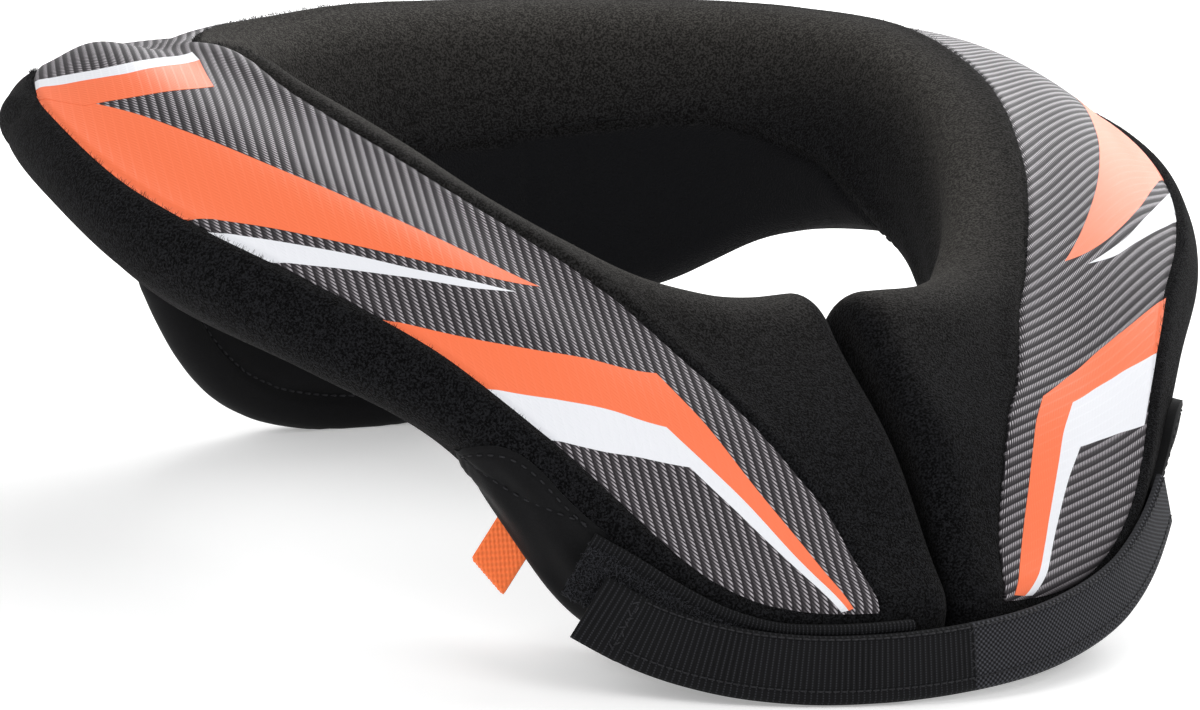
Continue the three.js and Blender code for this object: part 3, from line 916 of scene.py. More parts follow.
def twill_group(name):
    """Diagonal ribs of slanted yarn: U runs across the ribs and V along them, in millimetres.

    A rib rises steeply at its first edge and falls evenly to the next; its yarns are a sine along the rib,
    slanted by the place across it.
    """
    group, given, result = new_group(
        name,
        [
            ("Vector", "NodeSocketVector", None),
            ("Pitch", "NodeSocketFloat", 2.1),
            ("Yarn", "NodeSocketFloat", 0.72),
        ],
        [("Height", "NodeSocketFloat"), ("Light", "NodeSocketFloat")],
    )
    over, along = split_map(group, given)
    steepness, slant, yarn_share = 5.0, 2.3, 0.42
    place_in = maths(group, "FRACT", maths(group, "DIVIDE", over, given.outputs["Pitch"]))
    rise = limit(group, maths(group, "MULTIPLY", place_in, steepness))
    body = maths(group, "MULTIPLY", rise, maths(group, "SUBTRACT", 1.0, place_in))
    slanted = maths(group, "MULTIPLY", place_in, slant)
    turn = maths(group, "ADD", maths(group, "DIVIDE", along, given.outputs["Yarn"]), slanted)
    yarn = limit(group, maths(group, "ADD", wave(group, turn, 1.0), yarn_share))
    height = maths(group, "MULTIPLY", body, maths(group, "MULTIPLY_ADD", yarn, 0.5, 0.5))
    group.links.new(height, result.inputs["Height"])
    strength = maths(group, "MULTIPLY_ADD", ramp(group, body, start=0.38, gain=3.4), 0.8, 0.14)
    shown = limit(group, maths(group, "MULTIPLY", body, 2.2))
    strands = maths(group, "MULTIPLY", shown, maths(group, "MULTIPLY_ADD", yarn, strength, 0.02))
    group.links.new(strands, result.inputs["Light"])
    return group


def webbing_group(name):
    """Webbing: U runs along the strap and V across it, in millimetres.

    Thin lines of dots lie between ribs across the strap; past the join the weave is a basket of small cells.
    """
    group, given, result = new_group(
        name,
        [
            ("Vector", "NodeSocketVector", None),
            ("Pitch", "NodeSocketFloat", 1.5),
            ("Join", "NodeSocketFloat", STRAP_JOIN),
        ],
        [("Height", "NodeSocketFloat"), ("Light", "NodeSocketFloat")],
    )
    along, across = split_map(group, given)
    dot_length, cell_length, cell_width, faintness = 0.55, 1.35, 1.15, 0.5
    ribs = wave(group, maths(group, "DIVIDE", along, given.outputs["Pitch"]), 2.0)
    line = ramp(group, maths(group, "ABSOLUTE", ribs), start=0.86, gain=7.0)
    dots = maths(group, "MULTIPLY_ADD", wave(group, across, dot_length), 0.5, 0.5)
    cells = maths(group, "MULTIPLY", wave(group, along, cell_length), wave(group, across, cell_width))
    fine = limit(group, maths(group, "MULTIPLY_ADD", cells, 0.95, 0.3))
    past = ramp(group, along, start=given.outputs["Join"], gain=3.0)
    before = maths(group, "MULTIPLY", maths(group, "SUBTRACT", 1.0, past), faintness)
    ribbed = maths(group, "MULTIPLY", maths(group, "MULTIPLY", line, dots), before)
    light = maths(group, "ADD", ribbed, maths(group, "MULTIPLY", fine, past))
    group.links.new(light, result.inputs["Light"])
    group.links.new(light, result.inputs["Height"])
    return group


def basket_group(name):
    """Basket weave: cells that rise and sink by turns, from sines along U and across V, in millimetres."""
    group, given, result = new_group(
        name,
        [("Vector", "NodeSocketVector", None), ("Cell", "NodeSocketFloat", 0.8)],
        [("Light", "NodeSocketFloat")],
    )
    waves = [
        wave(group, maths(group, "DIVIDE", part, given.outputs["Cell"]), 2.0)
        for part in split_map(group, given)
    ]
    # Painted shade mask: the product is low on the sunk cells, which the ribbon darkens.
    weave = maths(group, "MULTIPLY_ADD", maths(group, "MULTIPLY", *waves), 0.7, 0.7)
    group.links.new(limit(group, weave), result.inputs["Light"])
    return group


# Materials

def new_material(name, roughness, sheen=0.0, specular=0.5):
    """A material with one Principled shader; gives the material, its tree and the shader."""
    material = bpy.data.materials.new(name)
    material.use_nodes = True
    tree = material.node_tree
    shader = tree.nodes["Principled BSDF"]
    shader.inputs["Roughness"].default_value = roughness
    shader.inputs["Sheen Weight"].default_value = sheen
    shader.inputs["Sheen Roughness"].default_value = 0.35
    shader.inputs["Specular IOR Level"].default_value = specular
    return material, tree, shader


def add_bump(tree, shader, height, distance, strength):
    """Turn the shader's normal by a height, with the distance in metres."""
    bump = node_at(tree, "ShaderNodeBump")
    bump.inputs["Strength"].default_value = strength
    bump.inputs["Distance"].default_value = distance
    tree.links.new(height, bump.inputs["Height"])
    tree.links.new(bump.outputs[0], shader.inputs["Normal"])


def group_at(tree, name, make, source, **values):
    """A node of the named group, which is made when first asked for, fed with Object or UV coordinates."""
    group = bpy.data.node_groups.get(name) or make(name)
    node = node_at(tree, "ShaderNodeGroup", node_tree=group)
    coordinates = node_at(tree, "ShaderNodeTexCoord")
    tree.links.new(coordinates.outputs[source], node.inputs["Vector"])
    for label, value in values.items():
        node.inputs[label].default_value = value
    return node


def attribute_at(tree, name):
    """A piece's own mask, read by its attribute's name."""
    return node_at(tree, "ShaderNodeAttribute", attribute_name=name).outputs["Fac"]


def shaded(colour, factor):
    """A colour made darker or lighter by a factor."""
    return [factor * part for part in colour]


def fleece_material(settings):
    """Brushed fleece with a soft sheen: a painted highlight on the ridge, plain low on the wall, grey on the
    rim.

    The cover's masks pick these places. On the ridge and the rest the nap's tint mixes two colours.
    """
    material, tree, shader = new_material(
        "brushed fleece", roughness=0.95, sheen=settings.fleece_sheen, specular=0.05)
    shader.inputs["Sheen Tint"].default_value = (0.86, 0.82, 0.78, 1)
    fuzz = group_at(tree, "Brushed nap", nap_group, "Object")
    tint = fuzz.outputs["Tint"]
    fleece, ridge = settings.fleece_colour, settings.ridge_highlight_colour
    base = blend(tree, tint, shaded(fleece, 0.35), shaded(fleece, 3.2))
    # Painted highlight: the crown mask lightens the ridge's base colour where light from behind grazes it;
    # the nap's tint still gives it grain.
    brushed = blend(tree, tint, shaded(ridge, 0.3), ridge)
    base = blend(tree, attribute_at(tree, "crown"), base, brushed)
    base = blend(tree, attribute_at(tree, "tucked"), base, shaded(fleece, 2.0))
    base = blend(tree, attribute_at(tree, "rim"), base, settings.rim_colour)
    tree.links.new(base, shader.inputs["Base Color"])
    add_bump(tree, shader, fuzz.outputs["Height"], distance=0.0012, strength=0.9)
    return material


def webbing_material(settings, name, pitch):
    """Ribbed webbing with lighter thread between its ribs."""
    material, tree, shader = new_material(name, roughness=0.75, sheen=0.03, specular=0.12)
    weave = group_at(tree, "Ribbed webbing", webbing_group, "UV", Pitch=pitch / MM, Join=STRAP_JOIN)
    dark = settings.webbing_colour
    base = blend(tree, weave.outputs["Light"], dark, shaded(dark, 13.0))
    tree.links.new(base, shader.inputs["Base Color"])
    add_bump(tree, shader, weave.outputs["Height"], distance=0.0002, strength=0.5)
    return material


def twill_material(settings):
    """Ribbed twill, glossier on its ribs than between them: a coat lies on the ribs alone."""
    roughness = 0.55
    material, tree, shader = new_material("ribbed twill", roughness, sheen=0.03, specular=0.1)
    weave = group_at(tree, "Ribbed twill", twill_group, "UV", Pitch=settings.rib_pitch / MM)
    light = weave.outputs["Light"]
    base = blend(tree, light, settings.twill_dark, settings.twill_light)
    tree.links.new(base, shader.inputs["Base Color"])
    tree.links.new(light, shader.inputs["Coat Weight"])
    shader.inputs["Coat Roughness"].default_value = roughness
    shader.inputs["Coat IOR"].default_value = 1.68
    add_bump(tree, shader, weave.outputs["Height"], distance=0.00042, strength=0.7)
    return material


def print_material(settings, name, colour):
    """A printed film through which the ribs can be felt."""
    material, tree, shader = new_material(name, roughness=0.45, sheen=0.06, specular=0.4)
    shader.inputs["Base Color"].default_value = (*colour, 1)
    weave = group_at(tree, "Ribbed twill", twill_group, "UV", Pitch=settings.rib_pitch / MM)
    add_bump(tree, shader, weave.outputs["Height"], distance=0.00018, strength=0.3)
    return material


def cloth_material(name, colour, roughness):
    """Plain close-woven cloth, thread or fibre."""
    material, tree, shader = new_material(name, roughness, sheen=0.04, specular=0.15)
    fuzz = group_at(tree, "Brushed nap", nap_group, "Object", Fine=2600.0, Broad=500.0)
    base = blend(tree, fuzz.outputs["Tint"], shaded(colour, 0.6), colour)
    tree.links.new(base, shader.inputs["Base Color"])
    add_bump(tree, shader, fuzz.outputs["Height"], distance=0.0003, strength=0.3)
    return material


def ribbon_material(settings):
    """The pull tab's ribbon in basket weave, with painted shade on the weave's sunk cells."""
    material, tree, shader = new_material("orange ribbon", roughness=0.5, sheen=0.1, specular=0.3)
    weave = group_at(tree, "Basket weave", basket_group, "UV", Cell=settings.ribbon_cell / MM)
    light = settings.ribbon_colour
    # Painted shade: the weave's sunk cells are darkened to four fifths of the ribbon's colour.
    base = blend(tree, weave.outputs["Light"], shaded(light, 0.8), light)
    tree.links.new(base, shader.inputs["Base Color"])
    return material


# Collar cover

def seam_parts(angle):
    """The parts of the face at which the panel's inner and outer seams run."""
    reach = np.abs(angle)
    on_right = np.asarray(angle) < 0
    return tuple(
        np.where(on_right, *(read(SEAMS[side], SEAM_COLUMNS, name, reach) for side in (-1, 1)))
        for name in ("inner", "outer")
    )


def seam_gap(angle, part, span):
    """Signed millimetres to the woven panel's edge, plus on the fleece, at a place on the face.

    Along the face it is the part past a seam times the face's span, shortened by the seam's slant.
    """
    reach = np.abs(angle)
    inner, outer = seam_parts(angle)
    way = np.where(angle < 0, -SEAM_STEP, SEAM_STEP)
    slope = seam_parts(angle + way)[0] - seam_parts(angle - way)[0]
    slant = slope * span / (np.radians(2 * SEAM_STEP) * FACE_RADIUS)
    gap = np.maximum((inner - part) * span / np.sqrt(1 + slant**2), (part - outer) * span)
    tip = np.where(angle < 0, SEAMS[-1][0, 0], SEAMS[1][0, 0])
    return np.maximum(gap, np.radians(tip - reach) * FACE_RADIUS)


def lip_height(gap, angle):
    """How high the fleece stands at a gap from the panel's edge: a groove, then a soft lip, then nothing."""
    beyond = np.maximum(gap, 0)
    crest = LIP_HEIGHT * hump(beyond, LIP_PLACE, LIP_WIDTH) * ease(np.abs(angle), *LIP_ANGLES)
    crest = crest * (1 - TIP_LIP_LOSS * hump(angle, TIP_LIP_ANGLE, TIP_LIP_WIDTH))
    under = TUCKED_UNDER * ease(-gap, 0, TUCK_WIDTH)
    return crest - LIP_GROOVE * hump(beyond, 0, LIP_GROOVE_WIDTH) - under


def wall_seam_height(angle):
    """The height of the wall's seam at an angle, straight between the rows of its table."""
    return np.interp(np.abs(angle), WALL_SEAM[:, 0], WALL_SEAM[:, 1])


def cover_relief(angle, point, reach, q, side):
    """How far the fleece stands off the plain section, and where the wall's lower panel is.

    The relief has the panel's seams, a roll and a groove at the wall's seam, pleats, and soft sines all over.
    """
    span = face_span(angle)
    gap = seam_gap(angle * side, reach / span, span)
    by_panel = (q > PANEL_PLACES[0]) & (q < PANEL_PLACES[1])
    by_wall = (q > WALL_PLACES[0]) & (q < WALL_PLACES[1]) & (np.abs(angle) > WALL_SEAM[0, 0])
    relief = np.where(by_panel, lip_height(gap, angle * side), 0)
    on_wall = by_wall.astype(float)
    above = point[..., 1] - wall_seam_height(angle)
    roll = hump(above, middle=4.0, width=3.5, height=0.9)
    groove = hump(above, middle=0.0, width=1.3, height=1.5)
    relief = relief + on_wall * (roll - groove)
    for pleat, width in WALL_PLEATS:
        fold = hump(angle * side * np.sign(pleat), abs(pleat), width) * (side == np.sign(pleat))
        relief = relief - PLEAT_DEPTH * on_wall * fold * ease(-above, 0, 8)
    slow = np.sin(0.061 * reach + 0.047 * angle * side + 1.3 * side) * np.sin(0.083 * angle + 0.4)
    quick = np.sin(0.14 * reach - 0.11 * angle + 2.0 * side)
    relief = relief + UNEVENNESS * (slow + 0.6 * quick) * ease(np.abs(angle), 0, 10)
    return relief, on_wall * ease(-above, 0.3, 1.2)


def tip_crease(angle, q, side):
    """The fold in the outer band at the wearer's right tip, as a groove beside a soft roll."""
    line = CREASE_ANGLE + CREASE_LEAN * (q - 5.0)
    here = (side < 0) * ease(q, 4.15, 4.35) * (1 - ease(q, 5.0, 5.5))
    roll = hump(np.abs(angle), middle=line + 3.2, width=2.6)
    groove = hump(np.abs(angle), middle=line, width=1.3, height=1.6)
    return here * (roll - groove)


def collar_cover(material):
    """The fleece cover: the belt section swept round the neck, with rounded ends at the slit.

    Rows are sections from one end of the slit round the back to the other, columns places q of the section.
    Towards each end the rolls shrink by a quarter circle, then the last section closes on its middle.
    """
    halves = []
    for way in (-1, 1):
        end_round = SLIT[way]["end_round"]
        end_angle = math.degrees(end_round / SECTIONS[0, SECTION_COLUMNS.index("ridge_r")])
        rounding = end_angle * (1 - np.cos(np.linspace(0, np.pi / 2, END_STEPS)[:-1]))
        front = np.arange(end_angle, FRONT_ANGLE, COVER_STEP)
        half = np.concatenate([rounding, front, np.linspace(FRONT_ANGLE, 180, COVER_BACK_ROWS)])
        shrink = end_round * (1 - np.sqrt(1 - (1 - np.minimum(half / end_angle, 1)) ** 2))
        halves.append((half, shrink, np.full(len(half), float(way))))
    angles, shrink, side = (np.concatenate([right, left[-2::-1]]) for right, left in zip(*halves))
    q = np.concatenate([i + np.arange(n) / n for i, n in enumerate(COVER_COUNTS)])
    grid_angle, grid_q = np.meshgrid(angles, q, indexing="ij")
    grid_side = np.broadcast_to(side[:, None], grid_q.shape)
    point, facing, reach = section(grid_angle, grid_q, shrink[:, None])
    relief, tucked = cover_relief(grid_angle, point, reach, grid_q, grid_side)
    from_end = ease(grid_angle, 0, END_FLAT_ANGLE)
    relief = relief * from_end + tip_crease(grid_angle, grid_q, grid_side)
    point = point + facing * relief[..., None]
    worn = place(grid_angle * grid_side, point, grid_side)
    rim = ease(grid_q, *RIM_START) * (1 - ease(grid_q, *RIM_END)) * ease(grid_angle, *RIM_ANGLES)
    # The crown mask places the painted highlight on the ridge.
    crown = hump(grid_q, RIDGE_HIGHLIGHT_PLACE, RIDGE_HIGHLIGHT_WIDTH) * from_end
    rings = [worn]
    for scale in END_RINGS:
        first, last = (end.mean(0) + (end - end.mean(0)) * scale for end in (worn[0], worn[-1]))
        rings = [first[None], *rings, last[None]]
    points = np.concatenate(rings)
    plain = np.zeros((len(END_RINGS), len(q)))
    masks = {
        name: np.concatenate([plain, mask, plain])
        for name, mask in (("rim", rim), ("tucked", tucked), ("crown", crown))
    }
    return make_piece("collar_cover", points, tube_faces(len(points), len(q)), material, masks=masks)


# Woven panel and prints

def panel_surface(angle, part, extra):
    """A worn point of the panel: on the face, dipping into the seams at both edges."""
    reach = np.abs(angle)
    gap = np.minimum(seam_gap(angle, part, face_span(reach)), 0)
    dip = hump(gap, 0, PANEL_EDGE_WIDTH, PANEL_EDGE_DIP) + hump(reach, 180, BACK_SEAM_WIDTH, BACK_SEAM_DIP)
    point, _ = on_face(reach, part, PANEL_LIFT - dip + extra)
    return place(angle, point)


def flat_middle(side):
    """One half's middle line laid flat with no stretch: angles, places, and headings of the lines across it.

    Each step keeps its true length and turns by as much as the line turns within the cloth, plus some skew.
    """
    angles = np.linspace(0, 180, FLAT_STEPS)
    line, beyond = (
        place(side * angles, on_face(angles, PANEL_MIDDLE + more, 0.0)[0])
        for more in (0.0, BESIDE_STEP)
    )
    along = unit(np.gradient(line, axis=0))
    across = beyond - line
    beside = np.cross(unit(np.cross(along, across)), along)
    turns = np.sum(np.diff(along, axis=0) * (beside[1:] + beside[:-1]) / 2, axis=1)
    skew = np.radians(read(SKEW[side], SKEW_COLUMNS, "degrees", angles))
    heading = np.concatenate([[0], np.cumsum(turns)]) + skew
    slant = np.arctan2(np.sum(across * beside, axis=1), np.sum(across * along, axis=1))
    halfway = (heading[1:] + heading[:-1]) / 2
    steps = np.linalg.norm(np.diff(line, axis=0), axis=1)
    x, y = (np.concatenate([[0], np.cumsum(steps * turned)]) for turned in (np.cos(halfway), np.sin(halfway)))
    return angles, x, y, heading + slant


def thread_map(angle, part):
    """Places across and along the ribs in millimetres, on the panel laid flat beside its middle line.

    Each half has its own direction of ribs, and they meet at a seam at the back.
    """
    reach = np.abs(angle)
    beside = (part - PANEL_MIDDLE) * face_span(reach)
    halves = []
    for side in (-1, 1):
        angles, *flat = flat_middle(side)
        x, y, heading = (np.interp(reach, angles, values) for values in flat)
        x = x + beside * np.cos(heading)
        y = y + beside * np.sin(heading)
        rib = math.radians(RIB_ANGLE[side])
        over = (x * math.sin(rib) - y * math.cos(rib)) * RIB_CLOSENESS[side]
        along = (x * math.cos(rib) + y * math.sin(rib)) * YARN_CLOSENESS[side]
        halves.append(np.stack([over, -side * along], -1))
    return np.where((np.asarray(angle) < 0)[..., None], *halves)


def top_panel(material):
    """The woven panel between its two seams, from tip to tip round the back, and its flat size."""
    back = np.linspace(FRONT_ANGLE, PANEL_BACK_ANGLE, PANEL_BACK_ROWS)
    right, left = (
        np.concatenate([np.arange(PANEL_TIP_ANGLE[side], FRONT_ANGLE, PANEL_STEP), back, BACK_SEAM])
        for side in (-1, 1)
    )
    angles = np.concatenate([-right, left[::-1]])
    even = np.linspace(0, 1, PANEL_COLUMNS)
    columns = even - EDGE_CROWDING * np.sin(2 * np.pi * even) / (2 * np.pi)
    inner, outer = seam_parts(angles[:, None])
    part = inner + (outer - inner) * columns[None, :]
    angle = np.broadcast_to(angles[:, None], part.shape)
    upper = panel_surface(angle, part, 0.0)
    under = panel_surface(angle, part, -PANEL_THICKNESS)
    return sheet_piece("top_panel_cloth", upper, under, material, thread_map(angle, part)), flat_size(upper)


def edge_points(rows):
    """Even steps along a smooth curve through rows of (angle, part); the face weighs PART_WEIGHT degrees."""
    weights = np.array([1.0, PART_WEIGHT])
    points, _ = curve_through(np.array(rows, float) * weights, STRIPE_FINE, STRIPE_ROWS)
    return points / weights


def stripe_surface(stripe, side):
    """Worn grids of a stripe's film between its upper and lower edges, and its thread map."""
    edges = []
    for name in ("upper", "lower"):
        edge = edge_points(stripe[name])
        if name + "_tail" in stripe:
            edge = np.concatenate([edge, edge_points(stripe[name + "_tail"])[1:]])
        edges.append(edge)
    across = np.linspace(0, 1, STRIPE_COLUMNS)[None, :, None]
    grid = edges[0][:, None, :] * (1 - across) + edges[1][:, None, :] * across
    angle, part = side * grid[..., 0], grid[..., 1]
    upper = panel_surface(angle, part, PRINT_LIFT + stripe.get("raised", 0))
    under = panel_surface(angle, part, -PRINT_DEPTH)
    return upper, under, thread_map(angle, part)


def prints(colour, material):
    """All stripes of one colour, on both sides, as one film."""
    points, faces, maps, count = [], [], [], 0
    for stripe in STRIPES.values():
        if stripe["colour"] != colour:
            continue
        for side in stripe["sides"]:
            upper, under, threads = stripe_surface(stripe, side)
            film, quads = shell(upper, under)
            points.append(film)
            turned = quads if side < 0 else [group[:, ::-1] for group in quads]
            faces.extend(group + count for group in turned)
            maps.append(both_faces(threads).reshape(-1, 2))
            count += len(film)
    name = f"{colour}_stripes"
    return make_piece(name, np.concatenate(points), faces, material, uv=np.concatenate(maps))


def seam_fuzz(settings, material, seed):
    """Loose fibres of the fleece that stand over the panel's edges."""
    random = np.random.default_rng(seed)
    number = settings.fuzz_count
    nearest, furthest, sunk, tangle, curl = 0.3, 2.2, 0.1, 0.45, 0.12
    angle = random.uniform(PANEL_TIP_ANGLE[-1], 180, number) * random.choice([-1.0, 1.0], number)
    reach = np.abs(angle)
    inner_edge = random.random(number) < 0.5
    inner, outer = seam_parts(angle)
    outwards = np.where(inner_edge, -1.0, 1.0)
    back = random.uniform(nearest, furthest, number)
    span = face_span(reach)
    part = np.where(inner_edge, inner, outer) + outwards * back / span
    point, facing = on_face(reach, part, lip_height(back, angle) - sunk)
    root = place(angle, point)
    ahead, _ = on_face(reach, part - outwards / span, 0.0)
    behind, _ = on_face(reach, part, 0.0)
    towards = place(angle, ahead) - place(angle, behind)
    up = round_neck(angle, facing)
    spread = random.normal(0, tangle, (number, 3))
    lying = random.uniform(0.2, 1.0, number)[:, None]
    standing = random.uniform(0.4, 1.0, number)[:, None]
    way = unit(towards * lying + up * standing + spread)
    length = random.uniform(0.6, 1.0, number)[:, None] * settings.fuzz_length / MM
    sag = random.normal(0, curl, (number, 3))
    points, faces = hairs(root, root + way * length, width=0.045, sag=sag)
    return make_piece("seam_fuzz", points, faces, material)


# Wall seam

def wall_seam_stitches(settings, material):
    """The line of stitches along the seam across the neck hole's wall."""
    first_angle, out_of_seam, above_seam = 70, 0.75, 2.2
    rows, places = 160, 300
    angles = np.linspace(first_angle, 180, rows)
    q = np.linspace(0.2, 2.4, places)
    point, facing, _ = section(angles[:, None], q[None, :])
    wanted = wall_seam_height(angles) + above_seam
    best = np.argmin(np.abs(point[..., 1] - wanted[:, None]), axis=1)
    row = np.arange(len(angles))
    spot = point[row, best] + facing[row, best] * out_of_seam
    paths = [place(side * angles, spot) for side in (-1, 1)]
    ups = [round_neck(side * angles, facing[row, best]) for side in (-1, 1)]
    pitch, length = settings.stitch_pitch / MM, settings.stitch_length / MM
    points, faces = beads(paths, ups, pitch, length, width=0.5, height=0.28)
    return make_piece("wall_seam_stitches", points, faces, material)


# Rear lobe

def flap_column(angle, name):
    """A column of the rear lobe's table at an angle of up to a half turn past the back."""
    return read(FLAP, FLAP_COLUMNS, name, np.where(angle > 180, 360 - angle, angle))


def flap_section(angle, turn, grow=0.0):
    """A point (r, z) of the rear lobe's section, a belt round two equal rolls; turn runs from 0 to 4.

    0-1 upper roll, 1-2 outer side down, 2-3 lower roll, 3-4 inner side up.
    """
    reach = np.where(angle > 180, 360 - angle, angle)
    radius = flap_column(angle, "half_thickness")
    edge_r, edge_z = (read(SECTIONS, SECTION_COLUMNS, name, reach) for name in ("edge_r", "edge_z"))
    upper = np.stack([edge_r, edge_z + FLAP_RISE], -1)
    lower = np.stack([edge_r, flap_column(angle, "low_z") + radius], -1)
    size = (radius + grow)[..., None]
    outwards = size * np.array([1.0, 0.0])
    over = upper + size * compass(np.pi * (1 - np.clip(turn, 0, 1)))
    under = lower + size * compass(-np.pi * np.clip(turn - 2, 0, 1))
    down = upper + (lower - upper) * np.clip(turn - 1, 0, 1)[..., None] + outwards
    up = lower + (upper - lower) * np.clip(turn - 3, 0, 1)[..., None] - outwards
    turn = turn[..., None]
    return np.where(turn < 1, over, np.where(turn < 2, down, np.where(turn < 3, under, up)))


def flap_depth(angle, turn):
    """Millimetres from the rear lobe's lowest line up its outer or inner side."""
    return flap_section(angle, turn)[..., 1] - flap_column(angle, "low_z")


def back_flap(material):
    """The rear lobe: the belt section swept round the back, pressed in along its stitched border."""
    angles = np.linspace(*FLAP_ENDS, FLAP_ROWS)
    turns = np.concatenate([i + np.arange(n) / n for i, n in enumerate(FLAP_COUNTS)])
    angle, turn = np.meshgrid(angles, turns, indexing="ij")
    depth = flap_depth(angle, turn)
    on_sides = (turn > 1) & (turn < 2) | (turn > 3)
    groove = hump(depth, BORDER_DEPTH, width=1.5, height=1.1) * on_sides
    puff_height = 0.25
    puff = puff_height * np.sin(0.35 * angle + 0.2 * depth) * ease(depth, 4, 12)
    worn = round_neck(angle, flap_section(angle, turn, puff - groove))
    return make_piece("rear_lobe", worn, tube_faces(len(angles), len(turns)), material)


def flap_stitches(settings, material):
    """Stitches along the rear lobe's border, outside and inside, where its sides are deep enough."""
    rows, places = 400, 200
    sunk, furthest_off = -0.85, 0.8
    angles = np.linspace(*BORDER_ENDS, rows)
    paths, ups = [], []
    for first, way in ((1.0, 1.0), (3.0, -1.0)):
        turn = np.linspace(first + 0.001, first + 0.999, places)
        depth = flap_depth(*np.meshgrid(angles, turn, indexing="ij"))
        best = turn[np.argmin(np.abs(depth - BORDER_DEPTH), axis=1)]
        point = flap_section(angles, best, np.full(len(angles), sunk))
        keep = np.abs(flap_depth(angles, best) - BORDER_DEPTH) < furthest_off
        outwards = np.stack([np.full(len(angles), way), np.zeros(len(angles))], -1)
        paths.append(round_neck(angles, point)[keep])
        ups.append(round_neck(angles, outwards)[keep])
    pitch, length = settings.stitch_pitch / MM, settings.stitch_length / MM
    points, faces = beads(paths, ups, pitch, length, width=0.55, height=0.3)
    return make_piece("rear_lobe_stitches", points, faces, material)


# Strap and loop strip

STRAP_UNROLL = math.radians(1) * SECTIONS[0, SECTION_COLUMNS.index("brim_r")]
STRAP_FINE = 1200


def strap_line(rows, count):
    """The middle line unrolled from the brim: places, directions, stand-offs and its length."""
    angle, height, stand_off = rows.T
    middle, length = curve_through(np.stack([angle * STRAP_UNROLL, height], -1), STRAP_FINE, count)
    along = unit(np.gradient(middle, axis=0))
    stand = np.interp(middle[:, 0] / STRAP_UNROLL, angle, stand_off)
    return middle, along, stand, length


def on_strap(line, across, lift):
    """Worn points on a strap at places across its width and heights above its back."""
    middle, along, stand, _ = line
    x = middle[:, None, 0] - along[:, None, 1] * across
    z = middle[:, None, 1] + along[:, None, 0] * across
    angle = x / STRAP_UNROLL
    brim = read(SECTIONS, SECTION_COLUMNS, "brim_r", np.abs(angle))
    return round_neck(angle, np.stack([brim + stand[:, None] + lift, z], -1))


def strap_piece(name, line, where, across, lift, material):
    """A strap as a closed sheet, with places along and across it in millimetres for its weave."""
    along, over = np.broadcast_arrays(where, across * STRAP_WIDTH)
    threads = np.stack([along, over], -1)
    return sheet_piece(name, on_strap(line, over, lift), on_strap(line, over, 0.0), material, threads)


def strap(settings, material):
    """The front strap: webbing ribbed across its width, with flat selvedges and a doubled end."""
    count, columns = 1100, 17
    rib_height, rib_bluntness, cell_height, seam_depth = 0.26, 0.6, 0.12, 0.2
    line = strap_line(STRAP_LINE, count)
    where = np.linspace(0, line[3], count)[:, None]
    across = np.linspace(-0.5, 0.5, columns)[None, :]
    ribs = np.abs(np.sin(np.pi * where / (settings.webbing_pitch / MM))) ** rib_bluntness
    inside = ease(across, -0.31, -0.28) * (1 - ease(across, 0.43, 0.45))
    rounded = 1 - 0.5 * ease(np.abs(across), 0.46, 0.5)
    past_join = ease(where, STRAP_JOIN, STRAP_JOIN + 0.6)
    lift = STRAP_THICKNESS * rounded + rib_height * ribs * inside * (1 - past_join) + cell_height * past_join
    lift = lift - hump(across, STRAP_SEAMS[0], width=0.02, height=seam_depth)
    lift = lift + STRAP_FOLD_LIFT * (1 - ease(where, STRAP_FOLD, STRAP_FOLD + 1.0))
    return strap_piece("strap_webbing", line, where, across, lift, material)


def strap_stitches(material):
    """Stitches along the strap's edges and zigzags across it at the doubled end and at the join."""
    count, zigzag_count = 900, 80
    swing, zigzags = 0.55, 7.5
    proud, fold_proud, from_fold = 0.22, 0.75, 1.6
    line = strap_line(STRAP_LINE, count)
    middle, along, stand, length = line
    top = STRAP_THICKNESS + proud
    paths = [on_strap(line, np.array([[edge * STRAP_WIDTH]]), top)[:, 0] for edge in STRAP_SEAMS]
    where = np.linspace(0, length, count)
    run = np.linspace(-0.36, 0.42, zigzag_count)
    zigzag = swing * np.sin(run * 2 * np.pi * zigzags)
    for cross, extra in ((STRAP_FOLD - from_fold, fold_proud), (STRAP_JOIN, 0.0)):
        i = np.argmin(np.abs(where[None, :] - (cross + zigzag)[:, None]), axis=1)
        crossing = (middle[i], along[i], stand[i], length)
        paths.append(on_strap(crossing, run[:, None] * STRAP_WIDTH, top + extra)[:, 0])
    points, faces = beads(paths, [facing_away(path) for path in paths], **STRAP_STITCH)
    return make_piece("strap_stitches", points, faces, material)


def loop_strip(settings, material):
    """The loop strip's backing, with a rounded and ribbed binding along its upper edge."""
    count, columns = 620, 25
    crown_half, crown_height, rib_height, edge_drop = 0.09, 0.75, 0.3, 0.5
    line = strap_line(LOOP_LINE, count)
    where = np.linspace(0, line[3], count)[:, None]
    across = np.linspace(-0.5, 0.5, columns)[None, :]
    binding = ease(across, 0.32, 0.35)
    ribs = np.abs(np.sin(np.pi * where / (settings.binding_pitch / MM)))
    crown = np.sqrt(np.clip(1 - ((across - LOOP_BINDING) / crown_half) ** 2, 0, 1))
    lift = LOOP_THICKNESS + binding * crown * (crown_height + rib_height * ribs)
    lift = lift - edge_drop * ease(-across, 0.46, 0.5)
    return strap_piece("loop_strip_backing", line, where, across, lift, material)


